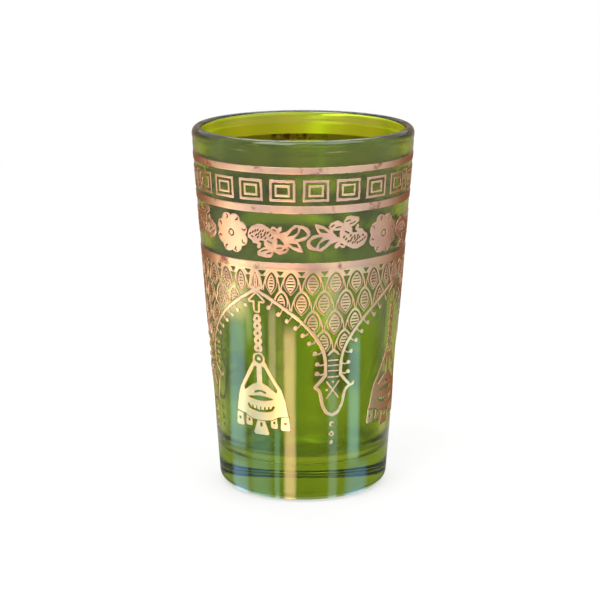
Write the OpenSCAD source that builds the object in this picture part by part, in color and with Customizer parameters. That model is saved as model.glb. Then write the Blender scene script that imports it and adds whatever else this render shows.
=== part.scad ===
// Tapered tea glass of moulded green glass with fired-on gilding.
// The origin is the centre of the resting plane, with +Z up.
// Turns are angles about Z from -Y, the decorated front, positive towards +X.
// The gilding is drawn flat, and each drawing is then laid on the conical wall as a thin film.

/* [Tumbler] */
// Height of the glass
glass_h = 90; // [85:1:120]
// Diameter of the outer wall line where it meets the rim plane
rim_d = 54.9; // [50:0.1:66]
// Diameter of the outer wall line where it meets the resting plane
base_d = 41.6; // [36:0.1:48]
// Thickness of the wall, rounded over at the lip
wall_t = 2.4; // [1.6:0.1:4]
// Radius of the lip on its outer side
lip_r = 1.7; // [0.8:0.1:2.1]
// Thickness of the floor over the resting plane
floor_t = 8.2; // [5:0.1:14]
// Radius inside, between the wall and the floor
inner_corner_r = 7; // [3:0.5:11]
// Radius of the heel, between the wall and the underside
heel_r = 2.8; // [1:0.1:4.5]
// Diameter of the hollow under the foot
foot_hollow_d = 31; // [16:0.5:33]
// Depth of the hollow under the foot
foot_hollow_depth = 1; // [0.4:0.1:2.5]

/* [Gilding] */
// Thickness of the gold film
film_t = 0.15; // [0.1:0.01:0.3]
// Number of times the garland, the arches and the lanterns repeat around the glass
repeats = 4; // [4:1:4]
// Turn of the first lantern from the front
lantern_turn = -27; // [-45:0.1:45]

/* [Frieze] */
// Distance from the rim down to the upper band
rim_margin = 6.2; // [4:0.1:9]
// Height of the upper and the lower band
band_h = 2.1; // [1:0.1:3]
// Gap between the squares and each band
square_gap = 0.9; // [0.4:0.1:2]
// Number of squares around the glass
square_count = 21; // [12:1:22]
// Turn of one square from the front
square_turn = 6.6; // [-8:0.1:9]
// Width of an outer square
square_w = 6.3; // [4:0.1:6.8]
// Height of an outer square
square_h = 5.3; // [4:0.1:6.5]
// Line width of an outer square
square_line = 0.65; // [0.3:0.05:0.9]
// Width of an inner square
inner_square_w = 3.6; // [2.4:0.1:4.4]
// Height of an inner square
inner_square_h = 2.8; // [2:0.1:3.8]
// Line width of an inner square
inner_square_line = 0.55; // [0.3:0.05:0.8]

/* [Garland] */
// Distance between the lower band and the arcade band, which the garland fills
garland_room = 12; // [11.5:0.1:16]
// Distance from the lower band down to the middle of the garland
garland_drop = 5.6; // [5.2:0.1:6]
// Diameter of a flower over its petals
flower_d = 9.4; // [6:0.1:10]
// Gap between a rose spray and the flower beside it
spray_gap = 0.5; // [0.3:0.1:2]

/* [Arcade] */
// Height of the arcade band
arcade_band_h = 1.7; // [1:0.1:2.5]
// Distance from the arcade band down to the crown of an arch
crown_drop = 5.1; // [4:0.1:8]
// Height of an arch, from its neck to its crown
arch_h = 18.7; // [14:0.1:22]
// Line width of the arch border
border_w = 0.85; // [0.5:0.05:1.1]
// Turn of the neck line from the axis of its pendant
neck_turn = 4.9; // [3.6:0.1:6]
// Height of the straight neck under an arch
neck_h = 2.4; // [1.5:0.1:5]
// Width of the pendant cup at its points
cup_w = 9.2; // [7:0.1:12]
// Height of the pendant cup under the neck
cup_h = 10.3; // [7:0.1:12]
// Height of one row of scales
scale_row_h = 4.95; // [4.2:0.05:5.2]
// Height of a scale's arch
scale_h = 5.4; // [4.5:0.1:6]
// Line width of a scale's arch
scale_line = 0.5; // [0.3:0.05:0.7]
// Turn between the first two scales of a row
scale_turn = 12.75; // [11.5:0.05:13.5]
// Width of an almond inside a scale
almond_w = 2.9; // [1.5:0.1:3.1]
// Height of an almond inside a scale
almond_h = 4.7; // [3:0.1:5.1]
// Radius of a picot on the arch border
picot_r = 0.5; // [0.3:0.05:0.7]
// Length of a picot's stem from the middle of the border
picot_stem = 1.9; // [1.2:0.1:2.2]
// Radius of the largest drop under a pendant
drop_r = 0.62; // [0.4:0.02:0.9]
// Distance between two drops
drop_pitch = 2.2; // [2:0.1:2.8]

/* [Lantern] */
// Width of the arrow head that carries the chain
arrow_w = 4.6; // [3.6:0.1:6]
// Height of the arrow head with its shank
arrow_h = 5.5; // [4.5:0.1:6]
// Number of links in the chain
link_count = 5; // [3:1:5]
// Distance between two links
link_pitch = 1.86; // [1.6:0.02:1.9]
// Radius of a link
link_r = 1.17; // [0.95:0.01:1.4]
// Radius of the hole in a link
link_hole_r = 0.4; // [0.2:0.05:0.6]
// Width of the lantern at its skirt
lantern_w = 14; // [10:0.1:16]
// Height of the lantern from the middle of its ring to its skirt
lantern_h = 15.8; // [12:0.1:16.5]
// Outer radius of the lantern's ring
ring_r = 1.65; // [1.4:0.05:2]
// Height of the longest tassel
tassel_h = 3.8; // [2.5:0.1:5]

/* [Hidden] */
$fn = 96;

glass_green = [0.45, 0.6, 0.12, 0.45];
gilt_gold = [0.86, 0.66, 0.5];

// The outer wall is a straight taper
wall_slope = (rim_d - base_d) / 2 / glass_h;
wall_lean = atan(wall_slope);
lip_limit_share = 0.85;
overrun = glass_h;

// Heights of the bands and of the rows between them, from the rim down
upper_band_z = glass_h - rim_margin - band_h;
square_z = upper_band_z - square_gap - square_h;
lower_band_z = square_z - square_gap - band_h;
garland_z = lower_band_z - garland_drop;
arcade_band_z = lower_band_z - garland_room - arcade_band_h;

// Heights of the arch, from its crown down to the drops under the cup
crown_z = arcade_band_z - crown_drop;
neck_z = crown_z - arch_h;
cup_z = neck_z - neck_h - cup_h;

// One repeat of the arcade, seen from the axis of its pendant
sector = 360 / repeats;
pendant_turn = lantern_turn + sector / 2;
arch_steps = 12;
border_run_share = 1.04;
crown_lap_turn = 0.8;

// Cup outline: shares of its half width and its height, from the neck down
cup_shares = [[1, 0.28], [0.76, 0.38], [0.6, 0.54], [0.47, 0.77], [0.3, 0.93], [0, 1]];

// Rows of scales: each entry is the number of scales on each side of the axis
scale_rows = [4, 3, 1, 1, 0];
scale_crown_rise = 0.5;
scale_crown_share = 1.5;
scale_foot_share = -0.1;
scale_field_share = 0.1;
almond_drop = 3.9;
outline_steps = 5;

// Picots: shares of the arch's run, then of the neck's height
picot_run_shares = [0.2, 0.36, 0.48, 0.59, 0.69, 0.78, 0.87];
picot_neck_shares = [-0.25, 0.75];
picot_sides = 8;
picot_line = 0.45;
picot_crown_lean = 20;
picot_neck_lean = 88;

// Rungs across the neck and the cross in the cup
rung_shares = [0.56, 0.02, -0.54, -1.19];
rung_line = 0.4;
rung_gap = 0.12;
cross_w = 3.3;
cross_h = 4.4;
cross_line = 0.4;
cross_share = 0.64;
cross_dot_r = 0.35;
cross_dot_share = 0.9;

// Drops: share of the largest radius, from the top down
drop_shares = [1, 1, 0.75];
drop_first = 2.3;
drop_hole_r = 0.22;

// Arrow head: shares of its half width and its height, from the tip down
arrow_shares = [[0, 0], [1, 0.45], [0.9, 0.55], [0.5, 0.57], [0.5, 1]];
arrow_hole_shares = [[0, 0.1], [0.68, 0.43], [0.2, 0.43], [0.2, 0.84]];
arrow_gap = 0.7;

// Chain: share of the pitch down to the first link, and of a link's radius down to the ring
first_link_share = 0.55;
last_link_share = 0.85;

// Lantern: shares of its half width and its height, from the ring down
lantern_shares = [
    [0.22, 0.03], [0.8, 0.484], [0.91, 0.627], [0.985, 0.848], [1, 0.9], [0.63, 0.92],
    [0.41, 0.98], [0, 1]
];
window_shares = [
    [0.105, 0.13], [0.18, 0.13], [0.635, 0.49], [0.6, 0.53], [0.45, 0.475], [0.28, 0.42],
    [0.105, 0.385]
];
ring_hole_r = 1.1;
ring_dot_r = 0.55;
crescent_w = 3.2;
crescent_h = 0.6;
crescent_share = 0.525;
eye_w = 6.8;
eye_h = 1.1;
eye_share = 0.64;
smile_w = 7;
smile_h = 2.6;
smile_share = 0.74;
smile_cover = 0.9;

// Tassels: shares of the lantern's half width, then their own widths and heights
tassel_place_shares = [0, 0.49, 0.89];
tassel_w = [4.2, 1.9, 2.4];
tassel_h_shares = [1, 0.84, 0.98];
tassel_top_share = 0.55;
tassel_rise = 1.6;
tassel_hole_r = 0.32;

// Flower: its turn from the pendant axis, then shares of its diameter
flower_turn = 30.6;
petal_count = 8;
petal_share = 0.186;
flower_hole_share = 0.1;
flower_dot_share = 0.06;

// Rose sprays: their turns from the pendant axis, the second one upside down
spray_turns = [-32.3, 2.1];
// A spray reaches towards its flower, but grows no taller than the garland has room for
spray_end_share = 0.425;
spray_room_share = 1.3667;
spray_reach = unrolled(spray_turns[0] + sector - flower_turn, garland_z).x - flower_d / 2 - spray_gap;
spray_w = min(spray_reach / spray_end_share, garland_room * spray_room_share);
// Rose spray: shares of its width, from its middle
rose_share = [-0.225, 0.01];
rose_r_share = 0.185;
seed_r_share = 0.115;
rose_petal_turns = [-150, -118, -86, -52];
rose_petal_r_share = 0.06;
rose_petal_sink_share = 0.3;
// Leaves: shares of place, length and width, then the turn of each
leaf_shares = [
    [0.27, 0.07, 0.43, 0.2], [0.25, -0.14, 0.3, 0.1], [0.01, -0.17, 0.24, 0.15], [-0.17, -0.25, 0.22, 0.13],
    [-0.02, 0.1, 0.15, 0.075]
];
leaf_turns = [32, -38, 10, 15, 35];
leaf_hole_share = 0.42;
stem_shares = [[-0.1, 0.05], [0.1, -0.05], [0.2, -0.09]];
stem_w = 1.1;

// Geometry shared by all the gilding

function wall_r(z) = base_d / 2 + wall_slope * z;

// A point at a turn on the wall, unrolled into arc length and height
function unrolled(turn, z) = [turn * PI / 180 * wall_r(z), z];

// Unrolled points as they are seen square on from outside
function seen(points) = [for (p = points) [wall_r(p.y) * sin(p.x / wall_r(p.y) * 180 / PI), p.y]];

// Points given as shares of a width and a height, mirrored to both sides, hanging from a height
function hung(shares, half_w, h, top) = [
    for (s = shares) [s.x * half_w, top - s.y * h],
    for (i = [len(shares) - 1:-1:0]) if (shares[i].x > 0) [-shares[i].x * half_w, top - shares[i].y * h]
];

// Pointed almond: its half width follows a cosine from tip to tip
function almond(x, z, w, h, from = -1) = [
    for (i = [0:outline_steps]) let (s = from + (1 - from) * i / outline_steps)
        [x + w / 2 * cos(90 * s), z + h / 2 * s],
    for (i = [outline_steps - 1:-1:(from > -1 ? 0 : 1)]) let (s = from + (1 - from) * i / outline_steps)
        [x - w / 2 * cos(90 * s), z + h / 2 * s]
];

function disc(c, r) = [
    for (i = [0:picot_sides - 1]) let (turn = 360 * i / picot_sides) c + r * [cos(turn), sin(turn)]
];

function unit(v) = v / norm(v);
function left_of(v) = [-v.y, v.x];

// Sideways direction at a point of a path, lengthened at a corner so that the line keeps its width
function side(path, i) =
    let (last = len(path) - 1)
    let (a = left_of(unit(path[max(i, 1)] - path[max(i, 1) - 1])))
    let (b = left_of(unit(path[min(i, last - 1) + 1] - path[min(i, last - 1)])))
    (a + b) / (1 + a * b);

function beside(path, offset) = [for (i = [0:len(path) - 1]) path[i] + offset * side(path, i)];
function backwards(list) = [for (i = [len(list) - 1:-1:0]) list[i]];
function ribbon(path, w) = concat(beside(path, w / 2), backwards(beside(path, -w / 2)));

// Film over the part of the wall between two heights, reaching a turn to each side of the front
module film(low, high, reach) {
    rotate_extrude(angle = 2 * reach, start = 270 - reach)
        polygon([
            [wall_r(low), low], [wall_r(low) + film_t, low],
            [wall_r(high) + film_t, high], [wall_r(high), high]
        ]);
}

// A flat drawing laid on the wall at a turn
module laid(turn, low, high, reach) {
    rotate([0, 0, turn])
        intersection() {
            film(low, high, reach);
            rotate([90, 0, 0]) linear_extrude(height = rim_d) children();
        }
}

module ring_band(low, h) {
    color(gilt_gold)
        rotate_extrude()
            polygon([
                [wall_r(low), low], [wall_r(low) + film_t, low],
                [wall_r(low + h) + film_t, low + h], [wall_r(low + h), low + h]
            ]);
}

// Tumbler

module wall_outline(inset, low, high) {
    polygon([
        [0, low], [wall_r(low) - inset / cos(wall_lean), low],
        [wall_r(high) - inset / cos(wall_lean), high], [0, high]
    ]);
}

// Profile that follows the wall at an inset and is rounded at its foot
module rounded_foot(inset, low, high, r) {
    centre = wall_r(low + r) - (inset + r) / cos(wall_lean);
    wall_outline(inset, low + r * (1 - sin(wall_lean)), high);
    translate([centre, low + r]) circle(r = r);
    translate([0, low]) square([centre, r]);
}

// What a lip radius takes off one corner of the wall; way is 1 outside and -1 inside
module lip_cut(x, r, way) {
    centre = [x, glass_h - r];
    across = way * [cos(wall_lean), -sin(wall_lean)];
    difference() {
        polygon([
            centre, centre + wall_t * across, centre + wall_t * (across + [0, 1]), centre + wall_t * [0, 1]
        ]);
        translate(centre) circle(r = r);
    }
}

module glass_tumbler() {
    outer_lip_r = min(lip_r, wall_t * lip_limit_share);
    inner_lip_r = wall_t - outer_lip_r;
    hollow_r = (pow(foot_hollow_d / 2, 2) + pow(foot_hollow_depth, 2)) / 2 / foot_hollow_depth;
    color(glass_green)
        rotate_extrude()
            difference() {
                rounded_foot(0, 0, glass_h, heel_r);
                rounded_foot(wall_t, floor_t, glass_h + overrun, inner_corner_r);
                intersection() {
                    translate([0, foot_hollow_depth - hollow_r]) circle(r = hollow_r);
                    translate([0, -overrun]) square([overrun, 2 * overrun]);
                }
                lip_cut(wall_r(glass_h - outer_lip_r) - outer_lip_r / cos(wall_lean), outer_lip_r, 1);
                lip_cut(wall_r(glass_h - inner_lip_r) - outer_lip_r / cos(wall_lean), inner_lip_r, -1);
            }
}

// Frieze

module upper_gilt_band() {
    ring_band(upper_band_z, band_h);
}

module lower_gilt_band() {
    ring_band(lower_band_z, band_h);
}

module square_row(w, h, line) {
    middle_z = square_z + square_h / 2;
    color(gilt_gold)
        for (i = [0:square_count - 1])
            laid(square_turn + 360 * i / square_count, middle_z - h, middle_z + h, 180 / square_count)
                translate([0, middle_z])
                    difference() {
                        square([w, h], center = true);
                        square([w - 2 * line, h - 2 * line], center = true);
                    }
}

module frieze_outer_squares() {
    square_row(square_w, square_h, square_line);
}

module frieze_inner_squares() {
    square_row(inner_square_w, inner_square_h, inner_square_line);
}

// Garland

module flower_outline() {
    petal_r = flower_d * petal_share;
    petal_ring = flower_d / 2 - petal_r;
    difference() {
        union() {
            circle(r = petal_ring);
            for (i = [0:petal_count - 1])
                rotate((i + 0.5) * 360 / petal_count) translate([petal_ring, 0]) circle(r = petal_r);
        }
        circle(r = flower_d * flower_hole_share);
    }
    circle(r = flower_d * flower_dot_share);
}

module garland_flowers() {
    color(gilt_gold)
        for (i = [0:repeats - 1])
            laid(
                pendant_turn + flower_turn + sector * i,
                garland_z - flower_d, garland_z + flower_d, sector / 4
            )
                translate([0, garland_z]) flower_outline();
}

// One leaf, or the opening in it, as a pointed outline at its place in the spray
module leaf(i, hole) {
    w = spray_w * (hole ? leaf_hole_share : 1);
    translate([leaf_shares[i][0], leaf_shares[i][1]] * spray_w)
        rotate(leaf_turns[i] - 90) polygon(almond(0, 0, leaf_shares[i][3] * w, leaf_shares[i][2] * w));
}

// A rose with a stem to a large leaf and smaller ones
module spray_outline() {
    rose_ring = (rose_r_share - rose_petal_r_share * rose_petal_sink_share) * spray_w;
    difference() {
        union() {
            translate(rose_share * spray_w) {
                circle(r = spray_w * rose_r_share);
                for (turn = rose_petal_turns)
                    rotate(turn) translate([rose_ring, 0]) circle(r = spray_w * rose_petal_r_share);
            }
            for (i = [0:len(leaf_shares) - 1]) leaf(i, false);
            polygon(ribbon(stem_shares * spray_w, stem_w));
        }
        translate(rose_share * spray_w)
            difference() {
                circle(r = spray_w * seed_r_share);
                translate([0, -spray_w * seed_r_share]) circle(r = spray_w * seed_r_share);
            }
        for (i = [0:len(leaf_shares) - 1]) leaf(i, true);
    }
}

module garland_sprays() {
    color(gilt_gold)
        for (i = [0:repeats - 1], half = [0, 1])
            laid(
                pendant_turn + spray_turns[half] + sector * i,
                garland_z - spray_w / 2, garland_z + spray_w / 2, sector / 4
            )
                translate([0, garland_z]) rotate(180 * half) spray_outline();
}

// Arcade

// Half of the arch border in unrolled sizes: down the arch, the neck and the cup to its lowest point
function border_half() = concat(
    [for (i = [arch_steps:-1:0])
        let (s = i * border_run_share / arch_steps)
        unrolled(neck_turn + (sector / 2 - neck_turn) * pow(s, 2), neck_z + arch_h * s)],
    [unrolled(neck_turn, neck_z - neck_h)],
    [for (s = cup_shares) [s.x * cup_w / 2, neck_z - neck_h - s.y * cup_h]]
);

function border_path() = concat(
    border_half(),
    [for (i = [len(border_half()) - 2:-1:0]) [-border_half()[i].x, border_half()[i].y]]
);

// Place of one scale: the turns close up slightly towards the crown of the arch
function scale_place(k) = scale_turn * k + (sector / 2 - 4 * scale_turn) * pow(k / 4, 3);

function row_places(row) = [
    for (i = [-scale_rows[row]:scale_rows[row]]) let (k = i + (row % 2 == 1 ? 0.5 : 0))
        if (abs(k) <= scale_rows[row]) k
];

function scale_crown(row) = arcade_band_z + scale_crown_rise - row * scale_row_h;

module scale_arch(row, k) {
    foot_z = scale_crown(row) - scale_h;
    middle = unrolled(scale_place(k), foot_z);
    w = unrolled(scale_place(k + 0.5) - scale_place(k - 0.5), foot_z).x;
    difference() {
        polygon(seen(almond(middle.x, foot_z, w, 2 * scale_h, 0)));
        polygon(seen(almond(
            middle.x, foot_z, w - 2 * scale_line, 2 * (scale_h - scale_crown_share * scale_line),
            scale_foot_share
        )));
    }
}

// The field between the arcade band and the arch border
module scale_field() {
    edge = beside(border_path(), -border_w / 2);
    arch = [for (p = edge) if (p.y > neck_z + arch_h * scale_field_share) p];
    polygon(seen(concat(arch, [[-arch[0].x, arcade_band_z], [arch[0].x, arcade_band_z]])));
}

module arcade_band() {
    ring_band(arcade_band_z, arcade_band_h);
}

module sector_film(lap = 0) {
    color(gilt_gold)
        for (i = [0:repeats - 1])
            laid(pendant_turn + sector * i, 0, arcade_band_z, sector / 2 + lap) children();
}

module arcade_scales() {
    sector_film()
        intersection() {
            scale_field();
            union() {
                for (row = [0:len(scale_rows) - 1], k = row_places(row)) scale_arch(row, k);
            }
        }
}

module arcade_almonds() {
    sector_film()
        intersection() {
            scale_field();
            union() {
                for (row = [0:len(scale_rows) - 2], k = row_places(row))
                    polygon(seen(almond(
                        unrolled(scale_place(k), scale_crown(row) - almond_drop).x,
                        scale_crown(row) - almond_drop, almond_w, almond_h
                    )));
            }
        }
}

// Picot on one side of the axis, leaning away from it
module picot(foot, lean, mirrored) {
    root = [mirrored * foot.x, foot.y];
    tip = root + picot_stem * [mirrored * sin(lean), -cos(lean)];
    polygon(seen(ribbon([root, tip], picot_line)));
    polygon(seen(disc(tip, picot_r)));
}

module arch_borders() {
    sector_film(crown_lap_turn) {
        polygon(seen(ribbon(border_path(), border_w)));
        for (mirrored = [-1, 1]) {
            for (s = picot_run_shares)
                picot(
                    unrolled(neck_turn + (sector / 2 - neck_turn) * pow(s, 2), neck_z + arch_h * s),
                    picot_neck_lean + (picot_crown_lean - picot_neck_lean) * s, mirrored
                );
            for (s = picot_neck_shares)
                picot(unrolled(neck_turn, neck_z - s * neck_h), picot_neck_lean, mirrored);
        }
    }
}

module pendant_rungs() {
    half = unrolled(neck_turn, neck_z).x - border_w / 2 - rung_gap;
    sector_film()
        for (s = rung_shares)
            translate([0, neck_z + s * neck_h]) square([2 * half, rung_line], center = true);
}

module pendant_crosses() {
    cross_z = neck_z - neck_h - cup_h * (1 - cross_share);
    tilt = atan(cross_w / cross_h);
    sector_film() {
        for (turn = [-tilt, tilt])
            translate([0, cross_z])
                rotate(turn) square([cross_line, norm([cross_w, cross_h])], center = true);
        translate([-cross_dot_share * cross_w / 2, cross_z]) circle(r = cross_dot_r);
        translate([0, cross_z + cross_dot_share * cross_h / 2]) circle(r = cross_dot_r);
    }
}

module pendant_drops() {
    sector_film()
        for (i = [0:len(drop_shares) - 1])
            translate([0, cup_z - drop_first - i * drop_pitch])
                difference() {
                    circle(r = drop_r * drop_shares[i]);
                    if (i < len(drop_shares) - 1) circle(r = drop_hole_r);
                }
}

// Lantern

arrow_tip_z = crown_z - arrow_gap;
chain_z = arrow_tip_z - arrow_h;
lantern_z = link_z(link_count - 1) - last_link_share * link_r - ring_r;

function link_z(i) = chain_z - (i + first_link_share) * link_pitch;

module lantern_film() {
    color(gilt_gold)
        for (i = [0:repeats - 1])
            laid(lantern_turn + sector * i, 0, arcade_band_z, sector / 4) children();
}

module lantern_chains() {
    lantern_film()
        difference() {
            union() {
                polygon(hung(arrow_shares, arrow_w / 2, arrow_h, arrow_tip_z));
                for (i = [0:link_count - 1])
                    translate([0, link_z(i)]) circle(r = link_r);
            }
            polygon(hung(arrow_hole_shares, arrow_w / 2, arrow_h, arrow_tip_z));
            for (i = [0:link_count - 1])
                translate([0, link_z(i)]) circle(r = link_hole_r);
            translate([0, lantern_z]) circle(r = ring_r);
        }
}

module lantern_outline() {
    translate([0, lantern_z]) circle(r = ring_r);
    polygon(hung(lantern_shares, lantern_w / 2, lantern_h, lantern_z));
}

module lanterns() {
    lantern_film() {
        difference() {
            lantern_outline();
            translate([0, lantern_z]) circle(r = ring_hole_r);
            for (mirrored = [-1, 1])
                polygon([
                    for (s = window_shares) [mirrored * s.x * lantern_w / 2, lantern_z - s.y * lantern_h]
                ]);
            translate([0, lantern_z - crescent_share * lantern_h])
                rotate(90) polygon(almond(0, 0, crescent_h, crescent_w));
            translate([0, lantern_z - eye_share * lantern_h]) rotate(90) polygon(almond(0, 0, eye_h, eye_w));
            translate([0, lantern_z - smile_share * lantern_h])
                difference() {
                    rotate(90) polygon(almond(0, 0, smile_h, smile_w));
                    translate([0, smile_cover]) rotate(90) polygon(almond(0, 0, smile_h, smile_w));
                }
        }
        translate([0, lantern_z]) circle(r = ring_dot_r);
    }
}

// Bell that widens to a round foot
module tassel(x, w, h) {
    skirt_z = lantern_z - lantern_h;
    foot_z = skirt_z - h + w / 2;
    difference() {
        union() {
            translate([x, foot_z]) circle(r = w / 2);
            polygon([
                [x - w / 2, foot_z], [x + w / 2, foot_z],
                [x + w / 2 * tassel_top_share, skirt_z + tassel_rise],
                [x - w / 2 * tassel_top_share, skirt_z + tassel_rise]
            ]);
        }
        translate([x, foot_z]) circle(r = tassel_hole_r);
    }
}

module lantern_tassels() {
    lantern_film()
        difference() {
            union() {
                for (i = [0:len(tassel_place_shares) - 1], mirrored = (i == 0 ? [1] : [-1, 1]))
                    tassel(
                        mirrored * tassel_place_shares[i] * lantern_w / 2,
                        tassel_w[i], tassel_h * tassel_h_shares[i]
                    );
            }
            lantern_outline();
        }
}

glass_tumbler();
upper_gilt_band();
frieze_outer_squares();
frieze_inner_squares();
lower_gilt_band();
garland_flowers();
garland_sprays();
arcade_band();
arcade_scales();
arcade_almonds();
arch_borders();
pendant_rungs();
pendant_crosses();
pendant_drops();
lantern_chains();
lanterns();
lantern_tassels();
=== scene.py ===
# %% [markdown]
# # A green tea glass with fired-on gilding
# The real object is one tapered glass with a thick foot. Its gold is a thin print, fired onto the
# outside. The construction model comes in as a fixed frame. Here every piece gets its finished surface
# and material.

# %% Load the construction model
import math

import bpy
import numpy as np
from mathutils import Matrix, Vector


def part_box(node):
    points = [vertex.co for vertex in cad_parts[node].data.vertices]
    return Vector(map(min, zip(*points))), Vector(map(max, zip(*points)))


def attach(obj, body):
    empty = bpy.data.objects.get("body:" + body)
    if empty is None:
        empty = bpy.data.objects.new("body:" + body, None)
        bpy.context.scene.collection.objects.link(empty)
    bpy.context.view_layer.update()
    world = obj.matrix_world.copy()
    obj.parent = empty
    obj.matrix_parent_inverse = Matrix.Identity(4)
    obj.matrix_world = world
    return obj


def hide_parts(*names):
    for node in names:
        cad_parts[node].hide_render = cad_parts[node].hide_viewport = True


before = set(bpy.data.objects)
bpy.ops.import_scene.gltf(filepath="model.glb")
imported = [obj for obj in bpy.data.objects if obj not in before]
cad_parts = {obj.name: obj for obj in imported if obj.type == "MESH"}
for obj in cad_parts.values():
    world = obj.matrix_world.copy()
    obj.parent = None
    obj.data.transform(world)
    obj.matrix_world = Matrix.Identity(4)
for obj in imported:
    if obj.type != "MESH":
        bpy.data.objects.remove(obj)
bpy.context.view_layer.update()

# %% [markdown]
# ## Sizes that the pieces share
# Sizes of the glass are written in millimetres and turned into metres when a mesh is made. A turn is an
# angle round the glass: 0 faces the viewer and it grows to the right. The outside wall is a straight
# taper, so one line gives its radius at every height.

# %% Sizes of the wall
GLASS_H, RIM_R, BASE_R = 90.0, 27.45, 20.8
SLOPE = (RIM_R - BASE_R) / GLASS_H
LEAN = math.atan(SLOPE)
REPEATS = 4
SECTOR = 360 / REPEATS
LANTERN_TURN = -27.0
PENDANT_TURN = LANTERN_TURN + SECTOR / 2


def wall_radius(z):
    """Radius of the outside wall: the base radius plus the slope times the height."""
    return BASE_R + SLOPE * z


FRAME_BAND_TOP, FRAME_FILM_T = 83.8, 0.15
_, band_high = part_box("upper_gilt_band")
print("radius over the upper band:", round(1000 * band_high[0], 3),
      "worked out:", round(wall_radius(FRAME_BAND_TOP) + FRAME_FILM_T, 3))

# %% [markdown]
# ## Camera
# The photograph looks down on the glass from a little under half a metre away. A camera could be set by
# eye, but the outline of the glass, with the ellipses of its rim and foot, fixes its place and lens, so
# it was fitted to them. The picture is a crop of a taller one, so the frame is shifted.

# %% Set the camera
LOOK_DOWN = 0.2008
camera_data = bpy.data.cameras.new("camera")
camera = bpy.data.objects.new("camera", camera_data)
bpy.context.scene.collection.objects.link(camera)
camera.location = (0.0, -0.47013, 0.15858)
camera.rotation_euler = (math.radians(90) - LOOK_DOWN, 0.0, 0.0)
camera_data.sensor_width = 36.0
camera_data.lens = 116.13
camera_data.shift_x, camera_data.shift_y = -0.00515, -0.1117
camera_data.clip_start = 0.01
bpy.context.scene.camera = camera
print("camera lens:", camera_data.lens)

# %% [markdown]
# ## Helpers
# A material is a small graph of nodes, and a mesh is a list of points with a list of faces. These helpers
# add nodes and feed their inputs, and put points and faces into the scene, so that each recipe stays short
# and reads in the order in which values flow.


# %% Helpers for nodes
def feed(tree, node, inputs):
    """Gives inputs, by name or number, a value, an output, or the first output in use of another node."""
    for name, source in dict(inputs).items():
        if isinstance(source, bpy.types.Node):
            source = next(socket for socket in source.outputs if socket.enabled)
        if isinstance(source, bpy.types.NodeSocket):
            tree.links.new(source, node.inputs[name])
        else:
            node.inputs[name].default_value = source


def add_node(tree, kind, inputs=(), **settings):
    """Adds a node of a kind, sets its properties, then feeds its inputs."""
    node = tree.nodes.new(kind)
    for name, value in settings.items():
        setattr(node, name, value)
    feed(tree, node, inputs)
    return node


def calculate(tree, operation, *numbers, **settings):
    """A node that works one number out from others."""
    return add_node(tree, "ShaderNodeMath", enumerate(numbers), operation=operation, **settings)


def remap(tree, value, old, new):
    """A node that turns one range of numbers into another, held at both ends."""
    ends = {"From Min": old[0], "From Max": old[1], "To Min": new[0], "To Max": new[1]}
    return add_node(tree, "ShaderNodeMapRange", {"Value": value, **ends})


def colour_mix(tree, share, first, second):
    """A node that goes from the first colour to the second with the share."""
    return add_node(tree, "ShaderNodeMix", {"Factor": share, "A": first, "B": second}, data_type="RGBA")


def noise(tree, place, scale, detail, roughness):
    """A node of cloudy noise that depends on the place."""
    values = {"Vector": place, "Scale": scale, "Detail": detail, "Roughness": roughness}
    return add_node(tree, "ShaderNodeTexNoise", values)


def stored(tree, name, kind):
    """What the points of a mesh store under a name: the kind is Color, or Fac for a number."""
    return add_node(tree, "ShaderNodeAttribute", attribute_name=name).outputs[kind]


def blank_material(name):
    """A material with nothing but its output."""
    material = bpy.data.materials.new(name)
    material.use_nodes = True
    tree = material.node_tree
    tree.nodes.clear()
    return material, tree, add_node(tree, "ShaderNodeOutputMaterial")


def new_material(name, values):
    """A material with a Principled shader that has the given values."""
    material, tree, output = blank_material(name)
    shader = add_node(tree, "ShaderNodeBsdfPrincipled", values)
    feed(tree, output, {"Surface": shader})
    return material, tree, shader, output


# %% Helpers for meshes
def add_mesh(name, points, faces):
    """Puts points in metres and lists of corner numbers into a mesh, and its object into the scene."""
    mesh = bpy.data.meshes.new(name)
    mesh.from_pydata(points, [], faces)
    thing = bpy.data.objects.new(name, mesh)
    bpy.context.scene.collection.objects.link(thing)
    return thing


def grid_faces(rows, columns, closed):
    """Corners of a grid's quads, counted row by row: here, the next column, over that one, over here."""
    first = np.arange(rows - 1)[:, None] * columns
    column = np.arange(columns if closed else columns - 1)
    after = (column + 1) % columns
    above = first + columns
    return np.stack([first + column, first + after, above + after, above + column], axis=-1).reshape(-1, 4)


# %% [markdown]
# ## Studio
# A pale floor, a white surround and a few soft lamps. A backdrop could be lit until it is white, but that
# light would flood the glass. So what the camera, metal and glass see of the surround is white by itself,
# and the light that it gives is lower, so that the lamps still shape the object.


# %% White surround
def plain_sight(tree):
    """A value that is 1 for rays from the camera, off metal and through glass, and 0 for all others."""
    path = add_node(tree, "ShaderNodeLightPath").outputs
    either = calculate(tree, "MAXIMUM", path["Is Camera Ray"], path["Is Glossy Ray"])
    return calculate(tree, "MAXIMUM", either, path["Is Transmission Ray"])


WHITE, ROOM_LIGHT = (1.0, 1.0, 1.0, 1.0), 0.45
bpy.context.scene.view_settings.view_transform = "Standard"
world = bpy.data.worlds.new("surround")
bpy.context.scene.world = world
world.use_nodes = True
tree = world.node_tree
tree.nodes.clear()
strength = remap(tree, plain_sight(tree), (0.0, 1.0), (ROOM_LIGHT, 1.0))
white = add_node(tree, "ShaderNodeBackground", {"Color": WHITE, "Strength": strength})
add_node(tree, "ShaderNodeOutputWorld", {"Surface": white})
print("the surround is seen at 1.0 and gives light at", ROOM_LIGHT)


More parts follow.
